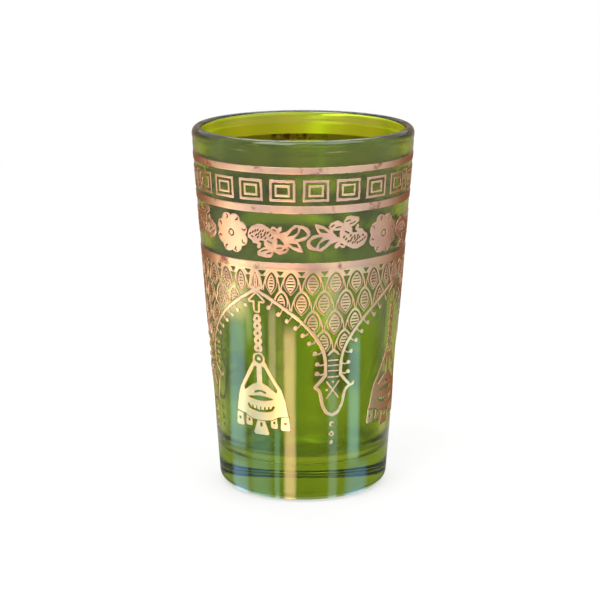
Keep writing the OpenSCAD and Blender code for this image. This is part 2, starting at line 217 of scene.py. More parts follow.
# %% Floor
def flat_sheet(name, sides, near, far, height):
    """A rectangle of four corners at one height: left and right side, near and far edge, in metres."""
    left, right = sides
    corners = [(left, near, height), (right, near, height), (right, far, height), (left, far, height)]
    return add_mesh(name, corners, [(0, 1, 2, 3)])


FLOOR_HALF, SHADOW_SPAN, SHADOW_SHARE = 3.0, (0.08, 0.5), 0.6
floor = flat_sheet("floor", (-FLOOR_HALF, FLOOR_HALF), -FLOOR_HALF, FLOOR_HALF, 0.0)
material, tree, shader, output = new_material("pale_floor", {
    "Base Color": (0.86, 0.86, 0.86, 1.0), "Roughness": 0.9, "Specular IOR Level": 0.0})
place = add_node(tree, "ShaderNodeTexCoord").outputs["Object"]
distance = add_node(tree, "ShaderNodeVectorMath", {0: place}, operation="LENGTH")
whiter = remap(tree, distance, SHADOW_SPAN, (SHADOW_SHARE, 1.0))
share = calculate(tree, "MULTIPLY", plain_sight(tree), whiter)
glow = add_node(tree, "ShaderNodeEmission", {"Color": WHITE, "Strength": 1.0})
feed(tree, output, {"Surface": add_node(tree, "ShaderNodeMixShader", {0: share, 1: shader, 2: glow})})
floor.data.materials.append(material)
print("floor of", 2 * FLOOR_HALF, "m a side")

# %% Lamps
LAMP_AIM = 0.045


def soft_lamp(name, turn, height, away, size, power):
    """A soft panel on a circle round the glass, tipped and turned to look at a point on its axis."""
    data = bpy.data.lights.new(name, "AREA")
    data.shape = "RECTANGLE"
    data.size, data.size_y = size
    data.energy = power
    lamp = bpy.data.objects.new(name, data)
    bpy.context.scene.collection.objects.link(lamp)
    angle = math.radians(turn)
    lamp.location = (away * math.sin(angle), -away * math.cos(angle), height)
    lamp.rotation_euler = (math.atan2(away, height - LAMP_AIM), 0.0, angle)
    lamp.visible_camera = False


soft_lamp("key_panel", -40, 0.9, 0.5, (0.6, 0.6), 5.5)
soft_lamp("fill_panel", 55, 0.85, 0.45, (0.6, 0.6), 3.5)
soft_lamp("top_panel", 180, 0.95, 0.5, (0.8, 0.6), 5.0)

# %% [markdown]
# ## What the glass mirrors
# The room round the real glass was darker and warmer than a white studio. The glass and the gold mirror
# it, most of all at their edges. Panels could be stood round it, but they would also throw light and
# shadow. So a wide shallow bowl lies round the glass, dark near the foot and brown further out and
# behind, and only mirrored rays see it.


# %% Helpers for sheets that are mirrored
def seen_only_by(ray, thing):
    """Hides a thing from every kind of ray but one."""
    for kind in ("camera", "diffuse", "glossy", "transmission", "volume_scatter", "shadow"):
        setattr(thing, "visible_" + kind, kind == ray)


def sheet_mesh(name, points, closed):
    """A grid of points as quads, with the last column joined to the first where it is closed."""
    faces = grid_faces(*points.shape[:2], closed)[:, [0, 3, 2, 1]]
    return add_mesh(name, points.reshape(-1, 3).tolist(), faces.tolist())


def paint_points(thing, name, values):
    """Stores a colour for each point of the mesh."""
    full = np.concatenate([values, np.ones(values.shape[:-1] + (1,))], axis=-1)
    colours = thing.data.attributes.new(name, "FLOAT_COLOR", "POINT")
    colours.data.foreach_set("color", full.astype(np.float32).ravel())


def clear_glow(thing, blend):
    """A clear material that glows in the painted colour: a node of the kind blend puts the two together."""
    material, tree, output = blank_material(thing.name)
    light = add_node(tree, "ShaderNodeEmission", {"Color": stored(tree, "shine", "Color"), "Strength": 1.0})
    clear = add_node(tree, "ShaderNodeBsdfTransparent")
    # The last two inputs take the shaders in either kind of node
    both = add_node(tree, blend, {-2: clear, -1: light})
    feed(tree, output, {"Surface": both})
    thing.data.materials.append(material)
    return tree, both


def ramp(value, length):
    """A share that climbs from 0 to 1 while the value climbs from 0 to the length."""
    return np.clip(value / length, 0, 1)


def soft_spot(value, half):
    """A bump with soft shoulders, 1 in the middle and 0 from the half width on: (1 - share^4)^2."""
    return (1 - np.clip(value / half, -1, 1) ** 4) ** 2


# %% A bowl that shows only as reflections
SHADE, BROWN = np.array([0.05, 0.06, 0.03]), np.array([0.36, 0.24, 0.165])
SHADE_COVER, BROWN_COVER, FRONT_COVER = 0.8, 0.85, 0.2
# In metres from the axis, and in degrees from the front
SHADE_NEAR, SHADE_FAR, BACK_NEAR, BROWN_NEAR, BROWN_SPAN = 0.125, 0.19, 0.03, 0.18, 0.06
BEHIND_FROM, BEHIND_SPAN = 95, 25
GLOW_NEAR_FADE, GLOW_FAR_FADE = 0.004, 0.02
# Each glow behind: turn and half width in degrees, inner and outer radius in metres, and its strength
BACK_GLOWS = [
    (158, 9, 0.022, 0.15, (1.8, 1.6, 1.2)), (180, 8, 0.022, 0.15, (3.4, 2.6, 1.7)),
    (-156, 9, 0.022, 0.16, (1.4, 1.8, 1.9)),
]
turn = np.radians(np.arange(-180, 180, 2.0))[None, :]
radius = np.concatenate([np.linspace(0.021, 0.21, 64), np.linspace(0.23, 0.75, 14), [0.78, 0.8, 0.8]])
height = np.concatenate([np.full(64 + 14, 0.0001), [0.01, 0.06, 0.34]])
radius, height = radius[:, None], height[:, None]
behind = ramp(np.abs(np.degrees(turn)) - BEHIND_FROM, BEHIND_SPAN)
back = behind * ramp(radius - BACK_NEAR, BACK_NEAR)
dark = ramp(SHADE_FAR - radius, SHADE_FAR - SHADE_NEAR) * (1 - back)
shine = dark[..., None] * SHADE + (1 - dark[..., None]) * BROWN
brown_cover = FRONT_COVER + (BROWN_COVER - FRONT_COVER) * behind
brown_cover = brown_cover * ramp(radius - BROWN_NEAR, BROWN_SPAN)
cover = np.maximum(SHADE_COVER * dark, np.maximum(brown_cover, BROWN_COVER * back))
for middle, half, near, far, colour in BACK_GLOWS:
    off = (np.degrees(turn) - middle + 180) % 360 - 180
    amount = soft_spot(off, half) * ramp(radius - near + GLOW_NEAR_FADE / 2, GLOW_NEAR_FADE)
    amount = amount * ramp(far - radius, GLOW_FAR_FADE)
    shine = shine + amount[..., None] * colour
    cover = np.maximum(cover, amount)
points = np.stack(np.broadcast_arrays(radius * np.sin(turn), -radius * np.cos(turn), height), axis=-1)
bowl = sheet_mesh("mirrored_bowl", points, closed=True)
paint_points(bowl, "shine", shine)
paint_points(bowl, "cover", cover[..., None] * np.ones(3))
seen_only_by("glossy", bowl)
tree, mixed = clear_glow(bowl, "ShaderNodeMixShader")
feed(tree, mixed, {0: stored(tree, "cover", "Fac")})
print("bowl points:", len(bowl.data.vertices))

# %% [markdown]
# Upright streaks show on the real glass where its wall mirrors bright things round it. The wall leans
# out, so it mirrors the table. The sheet below is made of the very points where mirrored rays land: a
# grid of places on the wall, each followed from the camera to the wall and on down to the floor. So a
# streak is written where it shows on the glass, and needs no guess of where the bright thing stood.


# %% Streaks in the mirrored table
def landing(side, height):
    """Follows a ray from the camera to the wall, mirrors it about the wall's normal, and on to the floor."""
    reach = wall_radius(height)
    away = np.sqrt(reach ** 2 - side ** 2)
    point = np.stack([side, -away, height], axis=-1)
    right, back = side / reach * math.cos(LEAN), -away / reach * math.cos(LEAN)
    normal = np.stack([right, back, np.full(side.shape, -math.sin(LEAN))], axis=-1)
    ray = point - 1000 * np.array(camera.location)
    mirrored = ray - 2 * (ray * normal).sum(axis=-1, keepdims=True) * normal
    return point - mirrored * (height / mirrored[..., 2])[..., None]


# Each streak in millimetres on the glass: sideways middle, half width, lowest and highest point; its strength
STREAKS = [
    (-15.8, 2.5, 10.0, 47.0, (1.8, 3.4, 3.5)), (-15.3, 2.4, -3.5, 11.0, (1.0, 2.1, 3.4)),
    (-10.2, 3.2, -3.5, 20.0, (0.4, 1.4, 1.7)), (-6.3, 0.8, -3.5, 21.0, (1.3, 2.8, 2.3)),
    (-10.4, 1.6, 19.0, 47.0, (0.6, 1.5, 1.5)), (-12.9, 0.9, 38.0, 50.0, (2.6, 2.8, 1.6)),
    (-7.4, 1.1, 26.0, 51.0, (6.5, 4.6, 2.8)), (-5.5, 1.0, 24.0, 48.0, (1.8, 1.2, 0.6)),
    (-3.2, 1.75, -2.0, 46.0, (12.4, 7.6, 3.9)), (-16.6, 4.2, 44.0, 58.0, (10.5, 8.2, 4.4)),
    (7.6, 3.2, 43.0, 60.0, (3.0, 2.6, 2.3)), (7.2, 1.4, -3.5, 40.0, (1.2, 2.0, 2.3)),
    (12.3, 1.8, 8.0, 43.0, (2.1, 4.4, 4.2)), (12.9, 3.3, -3.5, 10.0, (0.6, 1.7, 3.1)),
]
# Radius where the foot ends, lowest place on the wall, fade of a streak's ends, height of the sheet
FOOT_EDGE, FIRST, STREAK_FADE, STREAKS_Z = 19.6, 0.6, 4, 0.25
rows = np.concatenate([[0.0, 0.2, 0.4], np.arange(FIRST, 80, 1.0)])
height, side = np.meshgrid(rows, np.arange(-20.4, 20.5, 0.2), indexing="ij")
points = landing(side, np.maximum(height, FIRST))
# Rays mirrored by the heel land closer in, so the first rows close up towards the foot
row_radius = np.linalg.norm(points[..., :2], axis=-1)
inward = np.clip(height / FIRST, 0, 1)
points[..., :2] *= ((FOOT_EDGE + (row_radius - FOOT_EDGE) * inward) / row_radius)[..., None]
points[..., 2] = STREAKS_Z
shine = np.zeros(side.shape + (3,))
for middle, half, low, high, colour in STREAKS:
    ends = ramp(height - low, STREAK_FADE) * ramp(high - height, STREAK_FADE)
    shine += (soft_spot(side - middle, half) * ends)[..., None] * colour
streaks = sheet_mesh("mirrored_streaks", points * 0.001, closed=False)
paint_points(streaks, "shine", shine)
seen_only_by("glossy", streaks)
clear_glow(streaks, "ShaderNodeAddShader")
print("streak points:", len(streaks.data.vertices), "streaks:", len(STREAKS))

# %% [markdown]
# Behind the real glass stand warm, darker things, and one bright strip. They show only through the glass,
# and turn the inside over the rim olive. Two glowing sheets lie on the floor for them. Only rays that
# have passed through glass see these, so the white background stays.


# %% Two sheets behind the glass
def sheet_behind(name, sides, near, far, height, colour):
    """A rectangle on the floor that glows in one colour, for rays through glass alone."""
    thing = flat_sheet(name, sides, near, far, height)
    seen_only_by("transmission", thing)
    material, tree, output = blank_material(name)
    light = add_node(tree, "ShaderNodeEmission", {"Color": (*colour, 1.0), "Strength": 1.0})
    feed(tree, output, {"Surface": light})
    thing.data.materials.append(material)
    print(name, "from", near, "to", far, "m behind the axis")


sheet_behind("warm_sheet", (-0.3, 0.3), 0.352, 1.6, 0.0004, (0.84, 0.64, 0.48))
sheet_behind("bright_strip", (0.0070, 0.0160), 0.12, 0.75, 0.0008, (2.6, 2.7, 1.4))

# %% [markdown]
# ## The glass
# A pressed glass is round, so its whole surface is one outline carried round the axis. A cylinder could
# be bent and bevelled instead, but the outline keeps every radius exact. It runs from the middle of the
# underside, over the heel, wall, lip and inner corner, to the middle of the floor. Arcs join the straight
# runs without a kink, because refraction shows every kink. The last two millimetres of the inside flare
# outwards, which thins the lip as fire polishing does, and a faint groove under the lip gives it the thin
# line that the photograph shows.


# %% Arcs and straight runs
def arc(centre, radii, start, end, count):
    """Points on an oval between two angles in degrees, where 0 points away from the axis and 90 up."""
    angle = np.radians(np.linspace(start, end, count))
    return np.column_stack([centre[0] + radii[0] * np.cos(angle), centre[1] + radii[1] * np.sin(angle)])


def run(start, end, count):
    """Points spread evenly along a straight line, without its two ends."""
    share = np.linspace(0.0, 1.0, count + 2)[1:-1, None]
    return (1 - share) * np.array(start) + share * np.array(end)


# %% Outline of the glass
WALL_T, FLOOR_T, CORNER_R, HEEL_R = 2.4, 8.2, 7.0, 2.8
LIP_OUT, LIP_IN, LIP_RISE, LIP_DIP, FLARE_Z = 1.4, 0.85, 1.7, 1.1, 86.8
GROOVE_Z, GROOVE_DEPTH, GROOVE_HALF, GROOVE_FROM = 87.0, 0.08, 0.45, 85.2
HOLLOW_R, HOLLOW_DEPTH = 15.5, 1.0
# The arcs are rounder than the frame's, so a hair comes off the radius and the height to stay in its box
TRIM = [0.99958, 0.99999]
lean = math.degrees(LEAN)
along_x = 1 / math.cos(LEAN)
hollow_ball = (HOLLOW_R ** 2 + HOLLOW_DEPTH ** 2) / 2 / HOLLOW_DEPTH
half_angle = math.degrees(math.asin(HOLLOW_R / hollow_ball))
hollow = arc((0, HOLLOW_DEPTH - hollow_ball), (hollow_ball, hollow_ball), 90, 90 - half_angle, 24)
heel_centre = (wall_radius(HEEL_R) - HEEL_R * along_x, HEEL_R)
heel = arc(heel_centre, (HEEL_R, HEEL_R), -90, -lean, 20)
lip_z = GLASS_H - LIP_RISE
lip_start = math.degrees(math.atan(SLOPE * LIP_RISE / LIP_OUT))
lip_x = wall_radius(lip_z) - LIP_OUT
outer_lip = arc((lip_x, lip_z), (LIP_OUT, LIP_RISE), -lip_start, 90, 18)
inner_lip = arc((lip_x, GLASS_H - LIP_DIP), (LIP_IN, LIP_DIP), 90, 180, 14)[1:]
share = np.linspace(0, 1, 26)[1:-1]
flare_z = GLASS_H - LIP_DIP + (FLARE_Z - GLASS_H + LIP_DIP) * share
plain_x = wall_radius(flare_z) - WALL_T * along_x
extra = lip_x - LIP_IN - (wall_radius(GLASS_H - LIP_DIP) - WALL_T * along_x)
flare = np.column_stack([plain_x + extra * (1 - share) ** 2 * (1 + 2 * share), flare_z])
corner_centre = (wall_radius(FLOOR_T + CORNER_R) - (WALL_T + CORNER_R) * along_x, FLOOR_T + CORNER_R)
corner = arc(corner_centre, (CORNER_R, CORNER_R), -lean, -90, 24)
upper_z = np.linspace(GROOVE_FROM, outer_lip[0, 1], 32)[:-1]
groove = GROOVE_DEPTH * np.exp(-((upper_z - GROOVE_Z) / GROOVE_HALF) ** 2)
upper_wall = np.column_stack([wall_radius(upper_z) - groove, upper_z])
outside_line = np.vstack([
    hollow, run(hollow[-1], heel[0], 4), heel, run(heel[-1], upper_wall[0], 50), upper_wall, outer_lip,
])
outline = np.vstack([
    outside_line, inner_lip, flare, run(flare[-1], corner[0], 44), corner, run(corner[-1], (0, FLOOR_T), 14),
    [[0.0, FLOOR_T]],
]) * TRIM
inner_start = len(outside_line) + len(inner_lip)
print("outline points:", len(outline), "highest radius:", round(float(outline[:, 0].max()), 3))


# %% Turn the outline into a closed surface
def smooth_object(name, points, faces):
    """Puts points in millimetres and lists of corner numbers into a smooth mesh in metres."""
    thing = add_mesh(name, (np.asarray(points) * 0.001).tolist(), faces)
    thing.data.polygons.foreach_set("use_smooth", np.ones(len(thing.data.polygons), dtype=bool))
    thing.data.update()
    return thing


def store(thing, name, values):
    """Stores a number for each point of the mesh, which its material reads."""
    numbers = thing.data.attributes.new(name, "FLOAT", "POINT")
    numbers.data.foreach_set("value", values.astype(np.float32))


def revolve(name, outline, count):
    """Carries (radius, height) points round the axis: x = r sin t, y = -r cos t. Both ends are poles."""
    turn = np.linspace(0, 2 * np.pi, count, endpoint=False)
    rim = outline[1:-1]
    x = rim[:, :1] * np.sin(turn)
    y = -rim[:, :1] * np.cos(turn)
    z = np.repeat(rim[:, 1:], count, axis=1)
    poles = [[0, 0, outline[0, 1]], [0, 0, outline[-1, 1]]]
    points = np.vstack([np.column_stack([x.ravel(), y.ravel(), z.ravel()]), poles])
    quads = grid_faces(len(rim), count, closed=True)
    column = np.arange(count)
    after = (column + 1) % count
    end = (len(rim) - 1) * count
    start_fan = np.column_stack([np.full(count, len(points) - 2), after, column])
    end_fan = np.column_stack([np.full(count, len(points) - 1), end + column, end + after])
    return smooth_object(name, points, quads.tolist() + start_fan.tolist() + end_fan.tolist())


GLASS_COLUMNS = 256
glass = revolve("glass_tumbler_finished", outline, GLASS_COLUMNS)
inside = np.repeat(np.arange(1, len(outline) - 1) >= inner_start, GLASS_COLUMNS)
store(glass, "inside", np.concatenate([inside, [False, True]]))
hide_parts("glass_tumbler")
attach(glass, "root")
print("glass faces:", len(glass.data.polygons))

# %% [markdown]
# ## Green glass
# All the green could be lost on the way through, but then the thick foot turns black. So about half of it
# is a stain on the surface, from Base Color, and half comes from Volume Absorption, which deepens the
# foot and sides. The outside is polished. The inside, which the plunger pressed, is softer and blurs what
# is behind.

# %% Material of the glass
PRESSED_ROUGHNESS = 0.2
material, tree, shader, output = new_material("green_glass_clear", {
    "Metallic": 0.0, "Transmission Weight": 1.0, "IOR": 1.51})
absorb = add_node(tree, "ShaderNodeVolumeAbsorption", {"Color": (0.68, 0.73, 0.1, 1.0), "Density": 70.0})
place = add_node(tree, "ShaderNodeTexCoord").outputs["Object"]
stretch = add_node(tree, "ShaderNodeMapping", {"Vector": place, "Scale": (1.0, 1.0, 0.2)})
ripple = noise(tree, stretch, 120.0, 1.0, 0.4)
contrast = remap(tree, ripple, (0.35, 0.65), (0.0, 1.0))
stain = colour_mix(tree, contrast, (0.333, 0.447, 0.009, 1.0), (0.447, 0.534, 0.022, 1.0))
soft = calculate(tree, "MULTIPLY", stored(tree, "inside", "Fac"), PRESSED_ROUGHNESS)
bump = add_node(tree, "ShaderNodeBump", {"Strength": 0.12, "Distance": 0.001, "Height": ripple})
feed(tree, output, {"Volume": absorb})
feed(tree, shader, {"Base Color": stain, "Roughness": soft, "Normal": bump})
glass.data.materials.append(material)
print("nodes of the glass:", len(tree.nodes))

# %% [markdown]
# ## Drawing the gold
# The gold is a flat print laid round the wall. Curves with a thickness could draw it, but they join and
# cut badly. So each motif is written as a signed distance: a number at every point that says how far the
# nearest edge is, below zero inside the gold. Joining two shapes takes the smaller number, cutting one
# out of another the larger, and the zero line of the result is the edge of the gold.

# %% Signed distances of simple shapes
TINY = 1e-12


def to_lines(x, z, starts, ends):
    """Distance to the nearest of some lines, each taken at the share of its length that lies closest."""
    px, pz = x[..., None], z[..., None]
    ex, ez = ends[:, 0] - starts[:, 0], ends[:, 1] - starts[:, 1]
    share = ((px - starts[:, 0]) * ex + (pz - starts[:, 1]) * ez) / np.maximum(ex * ex + ez * ez, TINY)
    share = np.clip(share, 0, 1)
    return np.min(np.hypot(px - starts[:, 0] - share * ex, pz - starts[:, 1] - share * ez), axis=-1)


def polygon(x, z, corners):
    """Distance to the nearest side of a closed outline, below zero where a sideways ray crosses it oddly."""
    a = np.asarray(corners, dtype=float)
    b = np.roll(a, -1, axis=0)
    ex, ez = b[:, 0] - a[:, 0], b[:, 1] - a[:, 1]
    pz = z[..., None]
    over = (a[:, 1] > pz) != (b[:, 1] > pz)
    cross_x = a[:, 0] + (pz - a[:, 1]) * ex / np.where(ez == 0, TINY, ez)
    odd = np.sum(over & (x[..., None] < cross_x), axis=-1) % 2 == 1
    away = to_lines(x, z, a, b)
    return np.where(odd, -away, away)


def stroke(x, z, path, width):
    """Distance to an open path less half the width of the line."""
    path = np.asarray(path, dtype=float)
    return to_lines(x, z, path[:-1], path[1:]) - width / 2


def disc(x, z, centre, radius):
    """Distance to the centre less the radius."""
    return np.hypot(x - centre[0], z - centre[1]) - radius


def bar(x, z, centre, width, height):
    """Distance to an upright rectangle: the larger of the sideways and the upward overshoot."""
    return np.maximum(np.abs(x - centre[0]) - width / 2, np.abs(z - centre[1]) - height / 2)


def joined(*shapes):
    """The gold of every shape: the smallest of the distances."""
    return np.minimum.reduce(shapes)


def cut(shape, *holes):
    """The shape less its holes: the largest of its distance and the holes' distances, sign turned."""
    return np.maximum.reduce([shape, *[-hole for hole in holes]])


# %% [markdown]
# ## From a drawing to a film of gold
# The print could be an image on the glass, but a film with a real edge catches the light. The distances
# stand on a fine grid round the glass, and marching squares walks through its cells: full cells become
# squares, and cells that the zero line crosses are cut along it. The film gets a top sheet that swells
# over its edge and an underside just inside the glass, and both share the edge, so that it is closed.

# %% Grid and edge noise
COLUMNS, Z_STEP = 1200, 0.13
FILM_T, SUNK, EDGE_SWELL = 0.11, 0.02, 0.16
RAGGED_REACH, PATCH_REACH, PATCH_SEED = 1.6, 30, 50
# Least distance to the gold in the first and last row, and of any point from its edge
BARE, NEAREST = 0.01, 0.004


def smooth_noise(shape, reach, seed):
    """Random numbers blurred over a reach in cells, by damping their quick waves, with a spread of one."""
    rough = np.random.default_rng(seed).normal(size=shape)
    wave_z = np.fft.fftfreq(shape[0])[:, None]
    wave_t = np.fft.rfftfreq(shape[1])[None, :]
    damp = np.exp(-2 * (np.pi * reach) ** 2 * (wave_z ** 2 + wave_t ** 2))
    blurred = np.fft.irfft2(np.fft.rfft2(rough) * damp, s=shape)
    return blurred / blurred.std()


def grid(low, high, columns=COLUMNS, repeats=1):
    """Turns and heights of the grid points between two heights, over the first of so many repeats."""
    rows = int(math.ceil((high - low) / Z_STEP)) + 1
    turn = np.arange(columns // repeats) * 360.0 / columns
    return np.meshgrid(turn, np.linspace(low, high, rows))


def all_round(field):
    """A field drawn over one repeat, laid side by side round the whole glass."""
    return np.tile(field, (1, REPEATS))


def from_axis(turn, axis, repeats=REPEATS):
    """Turn measured from the nearest of evenly spaced axes."""
    pitch = 360.0 / repeats
    return (turn - axis + pitch / 2) % pitch - pitch / 2


def unrolled(turn, z):
    """Length along the wall of a turn at a height."""
    return np.radians(turn) * wall_radius(z)


def seen_flat(turn, z):
    """Sideways place of a point of the wall as it is seen square on."""
    return wall_radius(z) * np.sin(np.radians(turn))


def on_wall(turn, z, lift):
    """Point at a turn and a height, lifted square off the leaning wall."""
    radius = wall_radius(z) + lift * math.cos(LEAN)
    angle = np.radians(turn)
    return np.column_stack([radius * np.sin(angle), -radius * np.cos(angle), z - lift * math.sin(LEAN)])


# %% Marching squares
# Corners a b c d of a cell count 1 2 4 8 where they lie inside, and p q r s are the crossings of its sides
CELL_FACES = {
    1: ["aps"], 2: ["bqp"], 4: ["crq"], 8: ["dsr"], 3: ["abqs"], 6: ["bcrp"], 12: ["cdsq"], 9: ["aprd"],
    7: ["abcrs"], 14: ["bcdsp"], 13: ["apqcd"], 11: ["abqrd"], 5: ["aps", "crq"], 10: ["bqp", "dsr"],
    15: ["abcd"],
}


def numbered(flags, start):
    """A running number for every flagged place, row by row."""
    return start + np.cumsum(flags.ravel()).reshape(flags.shape) - 1


def cut_cells(value, turn, z):
    """Turns, heights and depths of the points inside, then of the crossings, and the faces between."""
    inside = value < 0
    right, right_in = np.roll(value, -1, axis=1), np.roll(inside, -1, axis=1)
    side_cross, up_cross = inside != right_in, inside[:-1] != inside[1:]
    number = numbered(inside, 0)
    side_number = numbered(side_cross, number.max() + 1)
    up_number = numbered(up_cross, side_number.max() + 1)
    after = np.roll(number, -1, axis=1)
    corners = {"a": number[:-1], "b": after[:-1], "c": after[1:], "d": number[1:], "p": side_number[:-1],
               "q": np.roll(up_number, -1, axis=1), "r": side_number[1:], "s": up_number}
    case = inside[:-1] * 1 + right_in[:-1] * 2 + right_in[1:] * 4 + inside[1:] * 8
    faces = [np.stack([corners[letter][case == kind] for letter in shape], axis=-1)
             for kind, shapes in CELL_FACES.items() for shape in shapes]
    side_share = (value / (value - right))[side_cross]
    up_share = (value[:-1] / (value[:-1] - value[1:]))[up_cross]
    turns = [turn[inside], turn[side_cross] + side_share * 360 / value.shape[1], turn[:-1][up_cross]]
    heights = [z[inside], z[side_cross], z[:-1][up_cross] + up_share * (z[1, 0] - z[0, 0])]
    depths = [-value[inside], np.zeros(side_cross.sum() + up_cross.sum())]
    return *(np.concatenate(parts) for parts in (turns, heights, depths)), faces


def film(name, distance, low, high, seed, ragged=0.035):
    """Cuts the grid along the zero line and lifts the inside by t * sqrt(1 - (1 - d / swell)^2)."""
    fine = smooth_noise(distance.shape, RAGGED_REACH, seed)
    patchy = 0.6 + 0.4 * smooth_noise(distance.shape, PATCH_REACH, seed + PATCH_SEED)
    value = distance + ragged * fine * patchy
    # So the film ends inside the grid, and no cut face is so small that it would vanish
    value[[0, -1], :] = np.maximum(value[[0, -1], :], BARE)
    value = np.where(np.abs(value) < NEAREST, NEAREST, value)
    turn, z, depth, faces = cut_cells(value, *grid(low, high, distance.shape[1]))
    swell = np.sqrt(1 - (1 - np.minimum(depth / EDGE_SWELL, 1)) ** 2)
    top = on_wall(turn, z, np.where(depth > 0, FILM_T * swell, -SUNK))
    inner = int((depth > 0).sum())
    under = on_wall(turn[:inner], z[:inner], -SUNK)
    below = [np.where(face < inner, face + len(top), face)[:, ::-1] for face in faces]
    lists = [face for part in faces + below for face in part.tolist()]
    thing = smooth_object(name, np.vstack([top, under]), lists)
    store(thing, "edge_mm", np.concatenate([depth, depth[:inner]]))
    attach(thing, "root")
    print(name, "faces:", len(lists), "turn", round(float(turn.min()), 1), round(float(turn.max()), 1))
    return thing


# %% [markdown]
# ## Gold
# Fired gold is a bare metal skin, so it is metallic. Its colour drifts from pink to cream and goes
# copper-brown near the film's edge, and rubbed places go dull and dark. At a slant each material also paints
# a copper-brown reflection into the colour, standing in for the dark room that the gold mirrors. Each kind of
# piece could have a recipe of its own, but then they would drift apart. So one node group puts out colour,
# roughness and height, and each kind gives it its own values.

# %% Shared node group of the gold
group = bpy.data.node_groups.new("worn_gold", "ShaderNodeTree")
SOCKETS = [("Warm Colour", "INPUT", "Color"), ("Cream Colour", "INPUT", "Color"), ("Rub", "INPUT", "Float"),
           ("Edge", "INPUT", "Float"), ("Colour", "OUTPUT", "Color"), ("Roughness", "OUTPUT", "Float"),
           ("Height", "OUTPUT", "Float")]
for name, way, kind in SOCKETS:
    group.interface.new_socket(name, in_out=way, socket_type="NodeSocket" + kind)
given = add_node(group, "NodeGroupInput").outputs
place = add_node(group, "ShaderNodeTexCoord").outputs["Object"]

# The colour is pinker high on the glass, and drifts in patches
height = add_node(group, "ShaderNodeSeparateXYZ", {0: place}).outputs["Z"]
by_height = remap(group, height, (0.028, 0.062), (0.0, 0.8))
patches = noise(group, place, 190.0, 2.0, 0.6)
drift = remap(group, patches, (0.36, 0.64), (-0.28, 0.28))
pink_share = calculate(group, "ADD", by_height, drift, use_clamp=True)
base = colour_mix(group, pink_share, given["Cream Colour"], given["Warm Colour"])

# Within 0.13 mm of the film's edge the colour goes copper-brown
thin = remap(group, given["Edge"], (0.0, 0.13), (0.55, 0.0))
edged = colour_mix(group, thin, base, (0.42, 0.17, 0.09, 1.0))

# Rubbed places are dark and dull, and their noise is turned so that it follows no grid line
askew = add_node(group, "ShaderNodeMapping", {"Vector": place, "Rotation": (0.0, 0.0, math.radians(45))})
rub_places = remap(group, noise(group, askew, 75.0, 5.0, 0.7), (0.56, 0.72), (0.0, 1.0))
rub = calculate(group, "MULTIPLY", rub_places, given["Rub"], use_clamp=True)
rubbed = colour_mix(group, rub, edged, (0.23, 0.06, 0.07, 1.0))

# A fine grain breaks up the shine, and the grain and the patches give the height
grain = noise(group, place, 2600.0, 2.0, 0.6)
gloss = remap(group, grain, (0.3, 0.7), (0.3, 0.46))
dull = calculate(group, "MULTIPLY_ADD", rub, 0.3, gloss)
bumpy = calculate(group, "MULTIPLY_ADD", grain, 0.5, patches)
add_node(group, "NodeGroupOutput", {"Colour": rubbed, "Roughness": dull, "Height": bumpy})
print("nodes of the gold:", len(group.nodes))

# %% Materials of the gold
# The last colour is a painted reflection: the dark room that the gold mirrors at a slant
ROSE, CREAM, SLANT_REFLECTION_COPPER = (0.62, 0.405, 0.335, 1.0), (0.76, 0.55, 0.345, 1.0), (0.36, 0.17, 0.085, 1.0)


def gold_material(name, warm=ROSE, cream=CREAM, rub=0.5):
    """A metallic material that takes colour, roughness and height from the group, with a copper-brown
    reflection painted in at a slant.
    """
    material, tree, shader, _ = new_material(name, {
        "Metallic": 1.0, "Specular Tint": (0.75, 0.5, 0.36, 1.0)})
    worn = add_node(tree, "ShaderNodeGroup", {
        "Warm Colour": warm, "Cream Colour": cream, "Rub": rub, "Edge": stored(tree, "edge_mm", "Fac"),
    }, node_tree=group).outputs
    # Painted reflection: at a slant the colour goes copper-brown, for the dark room that the gold mirrors
    slant = add_node(tree, "ShaderNodeLayerWeight", {"Blend": 0.5}).outputs["Facing"]
    painted_reflection_share = remap(tree, slant, (0.2, 0.6), (0.0, 0.65))
    colour = colour_mix(tree, painted_reflection_share, worn["Colour"], SLANT_REFLECTION_COPPER)
    bump = add_node(tree, "ShaderNodeBump", {"Strength": 0.25, "Distance": 0.0001, "Height": worn["Height"]})
    feed(tree, shader, {"Base Color": colour, "Roughness": worn["Roughness"], "Normal": bump})
    return material


def gild(name, node, material, distance, low, high, seed, **edge):
    """Makes the film of a drawing, gives it its material and lets it stand for its construction node."""
    thing = film(name, distance, low, high, seed, **edge)
    thing.data.materials.append(material)
    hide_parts(node)


band_gold = gold_material("gold_of_the_bands", rub=2.2)
frieze_gold = gold_material("gold_of_the_frieze")
inner_gold = gold_material("gold_of_the_inner_squares", warm=(0.69, 0.49, 0.33, 1.0))
garland_gold = gold_material("gold_of_the_garland", rub=0.45)
arcade_gold = gold_material("gold_of_the_arcade", rub=0.45)
scale_gold = gold_material("gold_of_the_scales", warm=(0.66, 0.46, 0.33, 1.0))
almond_gold = gold_material("gold_of_the_almonds", warm=(0.60, 0.37, 0.30, 1.0), rub=0.6)
lantern_gold = gold_material("gold_of_the_lanterns", cream=(0.79, 0.55, 0.32, 1.0), rub=0.15)
print("materials:", len(bpy.data.materials))

# %% [markdown]
# ## Bands and squares
# Three plain rings divide the print. Between the upper two runs a row of squares, each with a smaller one
# inside. The rings could be turned like the glass, but as a film they get the same ragged edge as the
# rest: a ring is only a pair of height limits, and a square is a rectangle less a rectangle.

# %% Gold rings
RING_MARGIN = 0.4


def ring(name, node, bottom, top, seed):
    """A ring between two heights: the distance is the larger overshoot past either height."""
    low, high = bottom - RING_MARGIN, top + RING_MARGIN
    _, z = grid(low, high)
    gild(name, node, band_gold, np.maximum(bottom - z, z - top), low, high, seed, ragged=0.03)


ring("upper_band_gold", "upper_gilt_band", 82.15, 83.85, 11)
ring("lower_band_gold", "lower_gilt_band", 72.65, 74.6, 12)
ring("arcade_band_gold", "arcade_band", 58.75, 60.75, 13)

